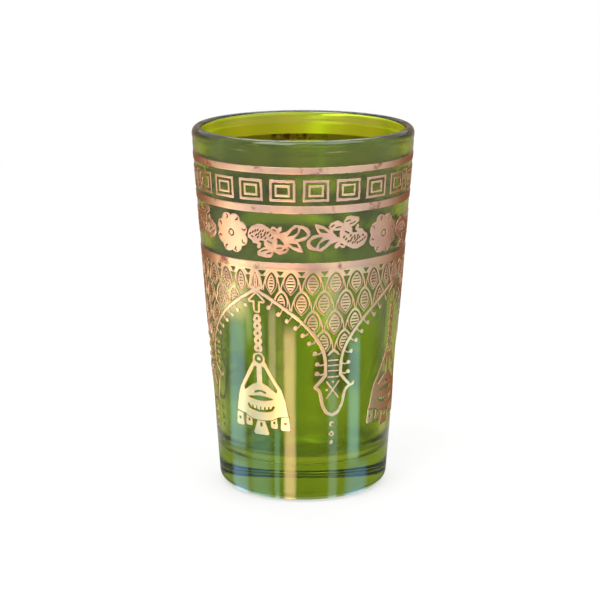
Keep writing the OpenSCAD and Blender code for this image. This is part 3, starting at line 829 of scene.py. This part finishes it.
# %% Rows of squares
SQUARES, SQUARE_TURN, SQUARE_Z = 21, 6.6, 78.15
low, high = 75.2, 81.1
turn, z = grid(low, high, 57 * SQUARES)
x = seen_flat(from_axis(turn, SQUARE_TURN, SQUARES), z)


def hollow_square(outside, opening):
    """A rectangle less a smaller one, each given by its width and height."""
    return cut(bar(x, z, (0.0, SQUARE_Z), *outside), bar(x, z, (0.0, SQUARE_Z), *opening))


outer, inner = hollow_square((6.3, 5.3), (4.9, 3.9)), hollow_square((3.7, 2.9), (2.5, 1.7))
gild("outer_squares_gold", "frieze_outer_squares", frieze_gold, outer, low, high, 14)
gild("inner_squares_gold", "frieze_inner_squares", inner_gold, inner, low, high, 15)

# %% [markdown]
# ## Garland
# Flowers with eight petals alternate with pairs of rose sprays, the second of a pair turned upside down.
# The real flower is a stamp, so one drawing serves all: eight discs round a disc, less a thin ring and
# eight small hooks. The garland sits a little askew, so its height sways once round the glass.

# %% Flowers
GARLAND_Z, FLOWER_Z, PETALS = 66.9, 66.75, 8
PETAL_AWAY, PETAL_R, EYE_R, EYE_LINE, HOOK_LINE = 3.2, 1.82, 0.75, 0.15, 0.17
# Each point of a hook: how far out, and how far round its petal's axis in radians
HOOK = [(4.5, -0.1), (4.0, -0.16), (3.6, -0.04)]
PRINT_TILT = 0.5
FLOWER_TURN = PENDANT_TURN + 30.6


def flower(x, z):
    """Eight discs round a disc, less a ring round the middle and a small hook near the tip of each petal."""
    def round_middle(away, angle):
        """The place at a distance and an angle from the middle."""
        return away * math.cos(angle), FLOWER_Z + away * math.sin(angle)

    petal_turn = np.radians((np.arange(PETALS) + 0.5) * 360 / PETALS)
    petals = [disc(x, z, round_middle(PETAL_AWAY, a), PETAL_R) for a in petal_turn]
    hooks = [stroke(x, z, [round_middle(r, a + s) for r, s in HOOK], HOOK_LINE) for a in petal_turn]
    eye_line = np.abs(np.hypot(x, z - FLOWER_Z) - EYE_R) - EYE_LINE / 2
    return cut(joined(disc(x, z, (0, FLOWER_Z), PETAL_AWAY), *petals), eye_line, *hooks)


low, high = GARLAND_Z - 5.9, GARLAND_Z + 5.65
turn, z = grid(low, high)
x = seen_flat(from_axis(turn, FLOWER_TURN), z)
flowers = flower(x, z + PRINT_TILT * np.sin(np.radians(turn)))
gild("flowers_gold", "garland_flowers", garland_gold, flowers, low, high, 16)

# %% [markdown]
# A rose spray is drawn once, about its own middle: a hooded rose with two rows of seeds, a curled petal,
# two leaves under it, a sprig over it, and a stem with one large and one small leaf. Outlines are rounded
# by drawing each a little small and moving its edge outwards again, which needs no arcs.

# %% Outlines of a rose spray
ROUNDING = 0.22
ROSE_HEAD = [
    (-7.0, 0.2), (-6.8, 1.2), (-6.1, 2.1), (-4.5, 2.8), (-3.0, 2.7), (-1.8, 2.0), (0.2, 1.0), (1.1, 0.4),
    (0.5, -0.2), (0.0, -1.6), (-1.0, -2.3), (-2.4, -2.6), (-2.8, -1.9), (-2.8, -0.9), (-3.8, -0.8),
    (-4.9, -1.2), (-6.1, -1.0), (-6.9, -0.5),
]
UNDER_LEAF = [
    (-0.8, -2.5), (-0.9, -4.0), (-1.4, -4.8), (-2.6, -4.95), (-4.5, -4.6), (-4.6, -3.8), (-3.1, -2.8),
]
SIDE_LEAF = [
    (-0.6, -2.1), (0.4, -1.9), (1.3, -1.85), (2.3, -2.1), (2.95, -2.6), (2.4, -3.4), (0.8, -4.0),
    (-0.4, -3.4),
]
LARGE_LEAF = [
    (0.8, 0.8), (2.5, 1.35), (3.6, 2.3), (4.5, 3.1), (6.3, 2.9), (7.4, 2.5), (7.9, 1.6), (7.8, 0.8),
    (6.8, -0.25), (5.6, -0.6), (4.4, -0.8), (2.8, -0.7),
]
SMALL_LEAF = [
    (2.4, -0.95), (4.0, -0.9), (5.1, -1.05), (5.7, -2.0), (6.15, -3.2), (5.2, -3.0), (4.3, -2.7),
    (2.6, -1.7),
]
SPRIG = [
    (-0.7, 1.2), (-1.1, 2.1), (-0.9, 2.4), (-0.4, 2.4), (0.3, 1.9), (1.0, 2.5), (1.3, 2.4), (1.3, 1.9),
    (0.7, 1.2),
]
FIRST_WINDOW = [(2.75, 0.4), (4.0, 2.0), (5.2, 2.75), (5.05, 1.4), (4.0, 0.65)]
SECOND_WINDOW = [(4.4, -0.15), (5.45, 1.2), (6.0, 2.4), (6.6, 2.1), (7.2, 1.35), (7.0, 0.6), (5.6, -0.05)]
SMALL_WINDOW = [(3.1, -1.2), (4.8, -1.35), (5.35, -2.25), (4.1, -2.05)]
CROTCH = [(0.3, -0.05), (1.9, -1.3), (0.45, -1.7)]
SEEDS = [
    (-6.5, 0.5), (-5.8, 0.95), (-5.15, 1.3), (-4.5, 1.5), (-3.85, 1.25), (-3.2, 1.45), (-2.6, 1.0),
    (-2.0, 1.05), (-1.4, 0.45), (-0.85, -0.1), (-4.95, 0.25), (-4.35, 0.6), (-3.7, 0.5), (-4.5, -0.2),
    (-3.6, -0.15), (-2.9, 0.3), (-2.6, -0.35),
]
SLITS = [
    [(-2.1, -0.95), (-1.15, -1.45)], [(-3.7, -3.65), (-3.0, -3.3), (-2.3, -3.2)],
    [(-2.3, -4.1), (-1.4, -3.85)], [(0.2, -2.6), (1.2, -2.45)], [(1.8, -3.1), (2.3, -2.7)],
    [(-0.7, 1.85), (-0.1, 1.6)], [(-6.1, -0.1), (-5.8, -0.3)],
]
# Each line of gold, the curled petal and the two stems: its path and its width
LINES = [
    ([(-5.6, -1.4), (-4.8, -1.5), (-4.1, -1.9), (-4.4, -2.6)], 0.9),
    ([(-0.9, 0.9), (1.2, 0.3), (2.9, -0.6)], 1.1), ([(1.0, 0.2), (2.5, -1.9)], 0.75),
]
SLIT_W, SEED_W, SEED_HALF = 0.26, 0.24, (0.12, 0.2)


# %% Rose sprays
def spray(x, z):
    """Gold: six outlines and three lines. Openings: windows in the leaves, slits and slanted seeds."""
    outlines = (ROSE_HEAD, UNDER_LEAF, SIDE_LEAF, LARGE_LEAF, SMALL_LEAF, SPRIG)
    shapes = [polygon(x, z, part) - ROUNDING for part in outlines]
    shapes += [stroke(x, z, path, width) for path, width in LINES]
    holes = [polygon(x, z, part) for part in (FIRST_WINDOW, SECOND_WINDOW, SMALL_WINDOW, CROTCH)]
    holes += [stroke(x, z, path, SLIT_W) for path in SLITS]
    dx, dz = SEED_HALF
    holes += [stroke(x, z, [(a - dx, c - dz), (a + dx, c + dz)], SEED_W) for a, c in SEEDS]
    return cut(joined(*shapes), *holes)


def slid(field, low, high, amount):
    """The field with each column slid down by its amount, blended between the two rows it falls between."""
    last = field.shape[0] - 1
    row = np.clip(np.arange(last + 1)[:, None] + amount * last / (high - low), 0, last - 0.001)
    under = row.astype(int)
    share = row - under
    return (1 - share) * np.take_along_axis(field, under, 0) + share * np.take_along_axis(field, under + 1, 0)


UPRIGHT_TURN, UPRIGHT_Z = PENDANT_TURN - 32.3, 66.75
UPTURNED_TURN, UPTURNED_Z = PENDANT_TURN + 2.1, 66.9
low, high = GARLAND_Z - 6.0, GARLAND_Z + 5.7
turn, z = grid(low, high, repeats=REPEATS)
upright = spray(seen_flat(from_axis(turn, UPRIGHT_TURN), z), z - UPRIGHT_Z)
upturned = spray(-seen_flat(from_axis(turn, UPTURNED_TURN), z), UPTURNED_Z - z)
tilt = PRINT_TILT * np.sin(np.radians(grid(low, high)[0][:1]))
sprays = slid(all_round(joined(upright, upturned)), low, high, tilt)
gild("sprays_gold", "garland_sprays", garland_gold, sprays, low, high, 17, ragged=0.02)

# %% [markdown]
# ## Arcade
# Four round arches hang from the lowest ring. Their border line sweeps down into a neck and round a
# pendant cup. Arches and cups could be shapes of their own, but the real line never breaks, so it is one
# long path: its turn grows with the square of the height over the neck.

# %% Border path
NECK_TURN, NECK_Z, NECK_H, ARCH_H, BORDER_W = 4.7, 35.0, 2.4, 18.7, 0.88
CUP_HALF, CUP_H = 4.4, 10.3
# Share of its height to which the arch is drawn, so that neighbours cross, and how far the neck draws in
PAST_CROWN, NECK_PINCH = 1.04, 0.03
NECK_BOTTOM = NECK_Z - NECK_H
# The side of the cup from its shoulder to its tip, as shares of its half width and height
CUP_SHARES = [(1.0, 0.28), (0.73, 0.40), (0.58, 0.68), (0.46, 0.82), (0.28, 0.93), (0.0, 0.985)]


def arch_point(s):
    """Place of the border at a share of the arch's height: sideways along the wall, and up."""
    height = NECK_Z + ARCH_H * s
    return unrolled(NECK_TURN + (SECTOR / 2 - NECK_TURN) * s ** 2, height), height


def round_path(corners, steps=8):
    """A smooth curve through corners: each stretch is the cubic that keeps its neighbours' direction."""
    p = np.asarray(corners, dtype=float)
    p = np.vstack([2 * p[0] - p[1], p, 2 * p[-1] - p[-2]])
    t = np.linspace(0, 1, steps, endpoint=False)[:, None]
    parts = [
        0.5 * (2 * b + (c - a) * t + (2 * a - 5 * b + 4 * c - d) * t ** 2 + (3 * b - a - 3 * c + d) * t ** 3)
        for a, b, c, d in zip(p[:-3], p[1:-2], p[2:-1], p[3:])
    ]
    return np.vstack(parts + [p[-2:-1]])


arch_line = np.column_stack(arch_point(np.linspace(PAST_CROWN, 0, 28)))
cup_side = round_path([(a * CUP_HALF, NECK_BOTTOM - b * CUP_H) for a, b in CUP_SHARES])
half_border = np.vstack([arch_line, [[arch_line[-1, 0] - NECK_PINCH, NECK_BOTTOM]], cup_side])
border_path = np.vstack([half_border, (half_border * [-1, 1])[-2::-1]])
print("border path points:", len(border_path))

# %% Border with its picots
PICOT_L, PICOT_LINE, PICOT_DOT, PICOT_BEND, PICOT_SAG = 2.05, 0.42, 0.58, 1.25, (0.1, 0.35)
# A picot's lean in degrees, where 0 hangs straight down: at the neck and at the crown
NECK_LEAN, CROWN_LEAN = 88, 20
PICOT_SHARES, NECK_PICOTS = (0.2, 0.36, 0.48, 0.59, 0.69, 0.78, 0.87), (-0.25, 0.75)
CROWN_CUT, CROWN_TURN = 54.6, 6


def picot(x, z, foot, turn, side):
    """A short stem that leans away from the axis, sags a little and ends in a round dot."""
    a = math.radians(turn)
    tip = (foot[0] + PICOT_L * math.sin(a), foot[1] - PICOT_L * math.cos(a))
    sag_x, sag_z = PICOT_SAG
    bend = (foot[0] + PICOT_BEND * math.sin(a) - sag_x, foot[1] - PICOT_BEND * math.cos(a) - sag_z)
    return joined(stroke(side * x, z, round_path([foot, bend, tip], 5), PICOT_LINE),
                  disc(side * x, z, tip, PICOT_DOT))


def border_line(x, z):
    """The border path with picots on both sides, which hang from the arch and stand off from the neck."""
    roots = [(arch_point(s), NECK_LEAN - (NECK_LEAN - CROWN_LEAN) * s) for s in PICOT_SHARES]
    roots += [((unrolled(NECK_TURN, h), h), NECK_LEAN) for h in (NECK_Z - s * NECK_H for s in NECK_PICOTS)]
    picots = [picot(x, z, foot, turn, side) for foot, turn in roots for side in (-1, 1)]
    return joined(stroke(x, z, border_path, BORDER_W), *picots)


low, high = 13.8, 56.0
turn, z = grid(low, high, repeats=REPEATS)
pendant_turn = from_axis(turn, PENDANT_TURN)
x = unrolled(pendant_turn, z)
# The line is drawn from this pendant and from both neighbours, so that the crowns cross, and then cut level
border = joined(*[border_line(unrolled(pendant_turn + shift, z), z) for shift in (-SECTOR, 0, SECTOR)])
border = np.maximum(border, np.where(np.abs(pendant_turn) > SECTOR / 2 - CROWN_TURN, z - CROWN_CUT, -1.0))
# A short tail stands off the right shoulder of each cup
cup_hook = stroke(x, z, [(CUP_HALF - 0.2, 29.5), (CUP_HALF + 0.9, 29.9), (CUP_HALF + 1.1, 30.3)], 0.7)
border = joined(border, cup_hook)
gild("arch_borders_gold", "arch_borders", arcade_gold, all_round(border), low, high, 18)

# %% Rungs, crosses and drops of the pendants
RUNG_SHARES, RUNG_W, RUNG_T = (0.56, 0.02, -0.54, -1.19), 2.9, 0.4
CROSS_Z, CROSS_X, CROSS_RISE, CROSS_LINE, CROSS_DOT = 28.9, 1.5, 2.1, 0.46, 0.35
CROSS_DOTS = [(-1.485, 0), (0, 1.98)]

rungs = joined(*[bar(x, z, (0, NECK_Z + s * NECK_H), RUNG_W, RUNG_T) for s in RUNG_SHARES])
gild("rungs_gold", "pendant_rungs", arcade_gold, all_round(rungs), low, high, 19)

cross = joined(
    *[stroke(x, z, [(-CROSS_X, CROSS_Z + rise), (CROSS_X, CROSS_Z - rise)], CROSS_LINE)
      for rise in (CROSS_RISE, -CROSS_RISE)],
    *[disc(x, z, (across, CROSS_Z + up), CROSS_DOT) for across, up in CROSS_DOTS],
)
gild("crosses_gold", "pendant_crosses", arcade_gold, all_round(cross), low, high, 20)

# From the top: a curl that is open at its right, a ring and a dot
drops = joined(
    cut(disc(x, z, (0, 20.1), 0.72), disc(x, z, (0.22, 20.0), 0.3), bar(x, z, (0.6, 19.8), 0.8, 0.34)),
    cut(disc(x, z, (0, 17.6), 0.72), disc(x, z, (0, 17.6), 0.2)), disc(x, z, (0, 15.5), 0.52),
)
gild("drops_gold", "pendant_drops", arcade_gold, all_round(drops), low, high, 21)

# %% [markdown]
# The field over the arches is a net of pointed scales, in rows that are offset by half a scale. Each is a
# round-shouldered arch line with a leaf-shaped line inside it, and an almond with bars across in the
# leaf. Under the ring, gold fills the corners between the arches but for a small triangle. A repeated
# tile would not fit the round arch, so every scale is placed by itself, and the net ends where the
# border's inner edge begins.

# %% Places and outlines of the scales
SCALE_TURN, SCALE_H, ROW_H, TOP_CROWN = 12.75, 5.2, 4.97, 59.1
SCALE_ROWS = [4, 3, 1, 1, 0]
ARCH_SHOULDER, LEAF_SHOULDER, ALMOND_SHOULDER = 0.55, 0.6, 0.7
ARCH_LINE, LEAF_LINE = 0.42, 0.3
LEAF_DROP, LEAF_INSET, LEAF_H = 3.5, 1.3, 6.1
ALMOND_DROP, ALMOND_INSET, ALMOND_H, ALMOND_RIM = 3.6, 2.45, 4.9, 0.45
SLOT_STEP, SLOT_HALF, FOOT_LAP = 0.72, 0.11, 0.2


def leaf_outline(centre, width, height, shoulder, low=-1.0, count=15):
    """Corners of a leaf: the half width is a cosine from tip to tip, raised to a power above the middle."""
    s = np.linspace(low, 1.0, count)
    half = width / 2 * np.maximum(np.cos(np.pi / 2 * s), 0.0) ** np.where(s > 0, shoulder, 1.0)
    right = np.column_stack([half, height / 2 * s])
    left = (right * [-1, 1])[::-1]
    return np.vstack([right, left[1:-1] if low == -1.0 else left[1:]]) + np.array(centre)


def arch_outline(middle, foot, width):
    """Corners of a round-shouldered arch: a leaf without its lower part."""
    return leaf_outline((middle, foot), width, 2 * SCALE_H, ARCH_SHOULDER, low=-0.3)


def scale_place(k):
    """Turn of a scale: even steps that close up a little towards the crown of the arch."""
    return SCALE_TURN * k + (SECTOR / 2 - 4 * SCALE_TURN) * (k / 4) ** 3


def row_places(row):
    """Steps of the scales of one row, whole in even rows and half in odd ones."""
    half = 0.5 if row % 2 else 0.0
    steps = np.arange(-SCALE_ROWS[row], SCALE_ROWS[row] + 1) + half
    return steps[np.abs(steps) <= SCALE_ROWS[row]]


def arch_lines(middle, foot, width):
    """A band along the edge of a round-shouldered arch, and a thinner one along the leaf in it."""
    def shape(x, z):
        """Each outline less itself drawn smaller by its line, with the arch ended just under its foot."""
        arch = polygon(x, z, arch_outline(middle, foot, width))
        leaf_centre = (middle, foot + SCALE_H - LEAF_DROP)
        leaf = polygon(x, z, leaf_outline(leaf_centre, width - LEAF_INSET, LEAF_H, LEAF_SHOULDER))
        band = np.maximum(cut(arch, arch + ARCH_LINE), foot - FOOT_LAP - z)
        return joined(band, cut(leaf, leaf + LEAF_LINE))
    return shape


def almond(middle, centre, width):
    """A leaf, opened between bars: inside a narrow rim, thin slots repeat upwards."""
    def shape(x, z):
        """The leaf less every slot, where the slot lies further in than the rim."""
        whole = polygon(x, z, leaf_outline((middle, centre), width, ALMOND_H, ALMOND_SHOULDER))
        slots = np.abs((z - centre + SLOT_STEP / 2) % SLOT_STEP - SLOT_STEP / 2) - SLOT_HALF
        return cut(whole, np.maximum(whole + ALMOND_RIM, slots))
    return shape


# %% Scales and almonds
# The net covers much of the wall, so its grid is a little coarser, which keeps it under 200,000 triangles
NET_COLUMNS, FAR_OFF = 960, 9.0
CORNER_Z, CORNER_TOP, CORNER_TIP, CORNER_HALF, CORNER_FOOT, CORNER_LAP = 58.0, 58.6, 57.55, 0.8, 57.2, 0.05
ARCH_REACH, ARCH_MIDDLE, ALMOND_REACH, CORNER_REACH = 5.2, 2.0, 3.5, 2.0
FIELD_FROM, FIELD_TOP, FIELD_OUT, ALMOND_CLEAR = 0.1, 62, 3, 0.12
low, high = 33.5, 59.6
turn, z = grid(low, high, NET_COLUMNS, REPEATS)
pendant_turn = from_axis(turn, PENDANT_TURN)
net, almonds, top_arches, triangles = (np.full(z.shape, FAR_OFF) for _ in range(4))


def draw_into(field, centre, reach, shape):
    """Joins a small shape into a field, worked out only near its centre, on both sides of the seam."""
    for shift in (-SECTOR, 0, SECTOR):
        x = unrolled(pendant_turn + shift, z)
        near = (np.abs(x - centre[0]) < reach) & (np.abs(z - centre[1]) < reach)
        if near.any():
            field[near] = np.minimum(field[near], shape(x[near], z[near]))


for row in range(len(SCALE_ROWS)):
    foot = TOP_CROWN - row * ROW_H - SCALE_H
    almond_z = foot + SCALE_H - ALMOND_DROP
    for k in row_places(row):
        middle, almond_x = float(unrolled(scale_place(k), foot)), float(unrolled(scale_place(k), almond_z))
        width = float(unrolled(scale_place(k + 0.5) - scale_place(k - 0.5), foot))
        draw_into(net, (middle, foot + ARCH_MIDDLE), ARCH_REACH, arch_lines(middle, foot, width))
        if row < len(SCALE_ROWS) - 1:
            shape = almond(almond_x, almond_z, width - ALMOND_INSET)
            draw_into(almonds, (almond_x, almond_z), ALMOND_REACH, shape)
        if row == 0:
            arch = arch_outline(almond_x, foot, width)
            centre = (almond_x, foot + ARCH_MIDDLE)
            draw_into(top_arches, centre, ARCH_REACH, lambda x, z: polygon(x, z, arch))
            tip = float(unrolled(scale_place(k + 0.5), CORNER_Z))
            corner = [(tip - CORNER_HALF, CORNER_TOP), (tip + CORNER_HALF, CORNER_TOP), (tip, CORNER_TIP)]
            draw_into(triangles, (tip, CORNER_Z), CORNER_REACH, lambda x, z: polygon(x, z, corner))

corners = np.maximum(CORNER_FOOT - z, -top_arches - CORNER_LAP)
net = joined(net, cut(corners, triangles))

# The field: inside the border path, over the neck
field_path = border_path[border_path[:, 1] > NECK_Z + FIELD_FROM * ARCH_H]
field_side = field_path[0, 0] + FIELD_OUT
field_path = np.vstack([field_path, [[-field_side, FIELD_TOP], [field_side, FIELD_TOP]]])
field = polygon(unrolled(pendant_turn, z), z, field_path) + BORDER_W / 2
net, almonds = np.maximum(net, field), np.maximum(almonds, field + ALMOND_CLEAR)
gild("scales_gold", "arcade_scales", scale_gold, all_round(net), low, high, 22, ragged=0.025)
gild("almonds_gold", "arcade_almonds", almond_gold, all_round(almonds), low, high, 23, ragged=0.015)

# %% [markdown]
# ## Lanterns
# Under each crown hangs a lantern: an arrow head, five links, a ring, and a tent with two windows, a
# curved slit, a pointed eye and a smile of short marks, with five tassels under it. Its corners are
# written as shares of its width and height, hanging from a height, so that one size changes the whole and
# both sides stay alike.

# %% Chains and lanterns
RING_Z, RING_R, RING_HOLE, RING_DOT, RING_GAP = 36.39, 1.65, 1.1, 0.55, 0.07
LANTERN_HALF, LANTERN_H = 7.0, 15.8
LINKS, LINK_R, LINK_HOLE = 46.48 - 1.86 * np.arange(5), 1.17, 0.3
ARROW_Z, ARROW_HALF, ARROW_H, ARROW_RIM = 52.65, 1.75, 4.2, 0.6
ARROW = [(0, 0), (1, 0.41), (0.26, 0.41), (0.2, 1)]
TENT = [
    (0.22, 0.03), (0.8, 0.484), (0.91, 0.627), (0.985, 0.848), (1, 0.9), (0.63, 0.92), (0.41, 0.98), (0, 1),
]
WINDOW = [
    (0.105, 0.13), (0.18, 0.13), (0.635, 0.49), (0.6, 0.53), (0.45, 0.475), (0.28, 0.42), (0.105, 0.385),
]
SLIT = [(-1.35, 27.85), (0, 28.2), (1.35, 27.85)]
EYE_Z, EYE_H, EYE_W = 26.35, 1.15, 7.0
SMILE = [(-3.4, 24.4), (-2.6, 23.5), (0, 23.1), (2.6, 23.5), (3.4, 24.4)]
SMILE_MARKS = (-2.1, -1.05, 0, 1.05, 2.1)
MARK_FOOT, MARK_TOP, MARK_CURVE, MARK_SPREAD = 23.2, 24.0, 0.03, 1.05
SLIT_LINE, SMILE_LINE, MARK_LINE = 0.42, 0.5, 0.3


def hung(shares, half, height, top):
    """Corners of the right side, given as shares of a half width and a height that hangs from a height."""
    return [(a * half, top - b * height) for a, b in shares]


def both_sides(right):
    """Corners of the right side, followed by their mirror images in reverse."""
    return right + [(-px, pz) for px, pz in reversed(right) if px > 0]


low, high = 16.0, 53.8
turn, z = grid(low, high, repeats=REPEATS)
x = seen_flat(from_axis(turn, LANTERN_TURN), z)
arrow_hole = polygon(x, z, both_sides(hung(ARROW, ARROW_HALF, ARROW_H, ARROW_Z)))
links = [disc(x, z, (0, link), LINK_R) for link in LINKS]
link_holes = [disc(x, z, (0, link), LINK_HOLE) for link in LINKS]
round_ring = disc(x, z, (0, RING_Z), RING_R + RING_GAP)
chain = cut(joined(arrow_hole - ARROW_RIM, *links), arrow_hole, round_ring, *link_holes)
gild("chains_gold", "lantern_chains", lantern_gold, all_round(chain), low, high, 24)

tent = polygon(x, z, both_sides(hung(TENT, LANTERN_HALF, LANTERN_H, RING_Z)))
body = joined(disc(x, z, (0, RING_Z), RING_R), tent)
windows = [polygon(side * x, z, hung(WINDOW, LANTERN_HALF, LANTERN_H, RING_Z)) for side in (-1, 1)]
slit = stroke(x, z, round_path(SLIT, 5), SLIT_LINE)
# The eye is an upright leaf with sideways and upwards exchanged
eye = polygon(z - EYE_Z, x, leaf_outline((0, 0), EYE_H, EYE_W, 1.0, count=9))
smile = [stroke(x, z, round_path(SMILE, 6), SMILE_LINE)]
for a in SMILE_MARKS:
    rise = MARK_CURVE * a * a
    smile.append(stroke(x, z, [(a, MARK_FOOT + rise), (a * MARK_SPREAD, MARK_TOP + rise)], MARK_LINE))
lantern = cut(body, disc(x, z, (0, RING_Z), RING_HOLE), *windows, slit, eye, *smile)
lantern = joined(lantern, disc(x, z, (0, RING_Z), RING_DOT))
gild("lanterns_gold", "lanterns", lantern_gold, all_round(lantern), low, high, 25)

# %% Tassels
BELL_R, BELL_HOLE, TASSEL_GAP = 0.62, 0.28, 0.03
# Each outer tassel: middle, half width at the top and at the foot, height of the top and of the foot
OUTER_TASSELS = [(3.4, 0.8, 0.95, 22.0, 18.85), (6.15, 0.95, 1.22, 22.6, 18.45)]


def tassel(middle, top_half, foot_half, top, foot, opening):
    """A rounded bell: four corners drawn small and moved outwards, less a small opening."""
    r = BELL_R
    sides = [(middle - foot_half + r, foot + r), (middle + foot_half - r, foot + r),
             (middle + top_half - r, top), (middle - top_half + r, top)]
    return cut(polygon(x, z, sides) - r, disc(x, z, (middle, opening), BELL_HOLE))


bell = cut(tassel(0, 0.85, 2.05, 21.2, 16.95, 19.4), disc(x, z, (0, 19.8), 0.3))
outer = [tassel(side * middle, *sizes, 20.4) for side in (-1, 1) for middle, *sizes in OUTER_TASSELS]
tassels = cut(joined(bell, *outer), body - TASSEL_GAP)
gild("tassels_gold", "lantern_tassels", lantern_gold, all_round(tassels), low, high, 26)
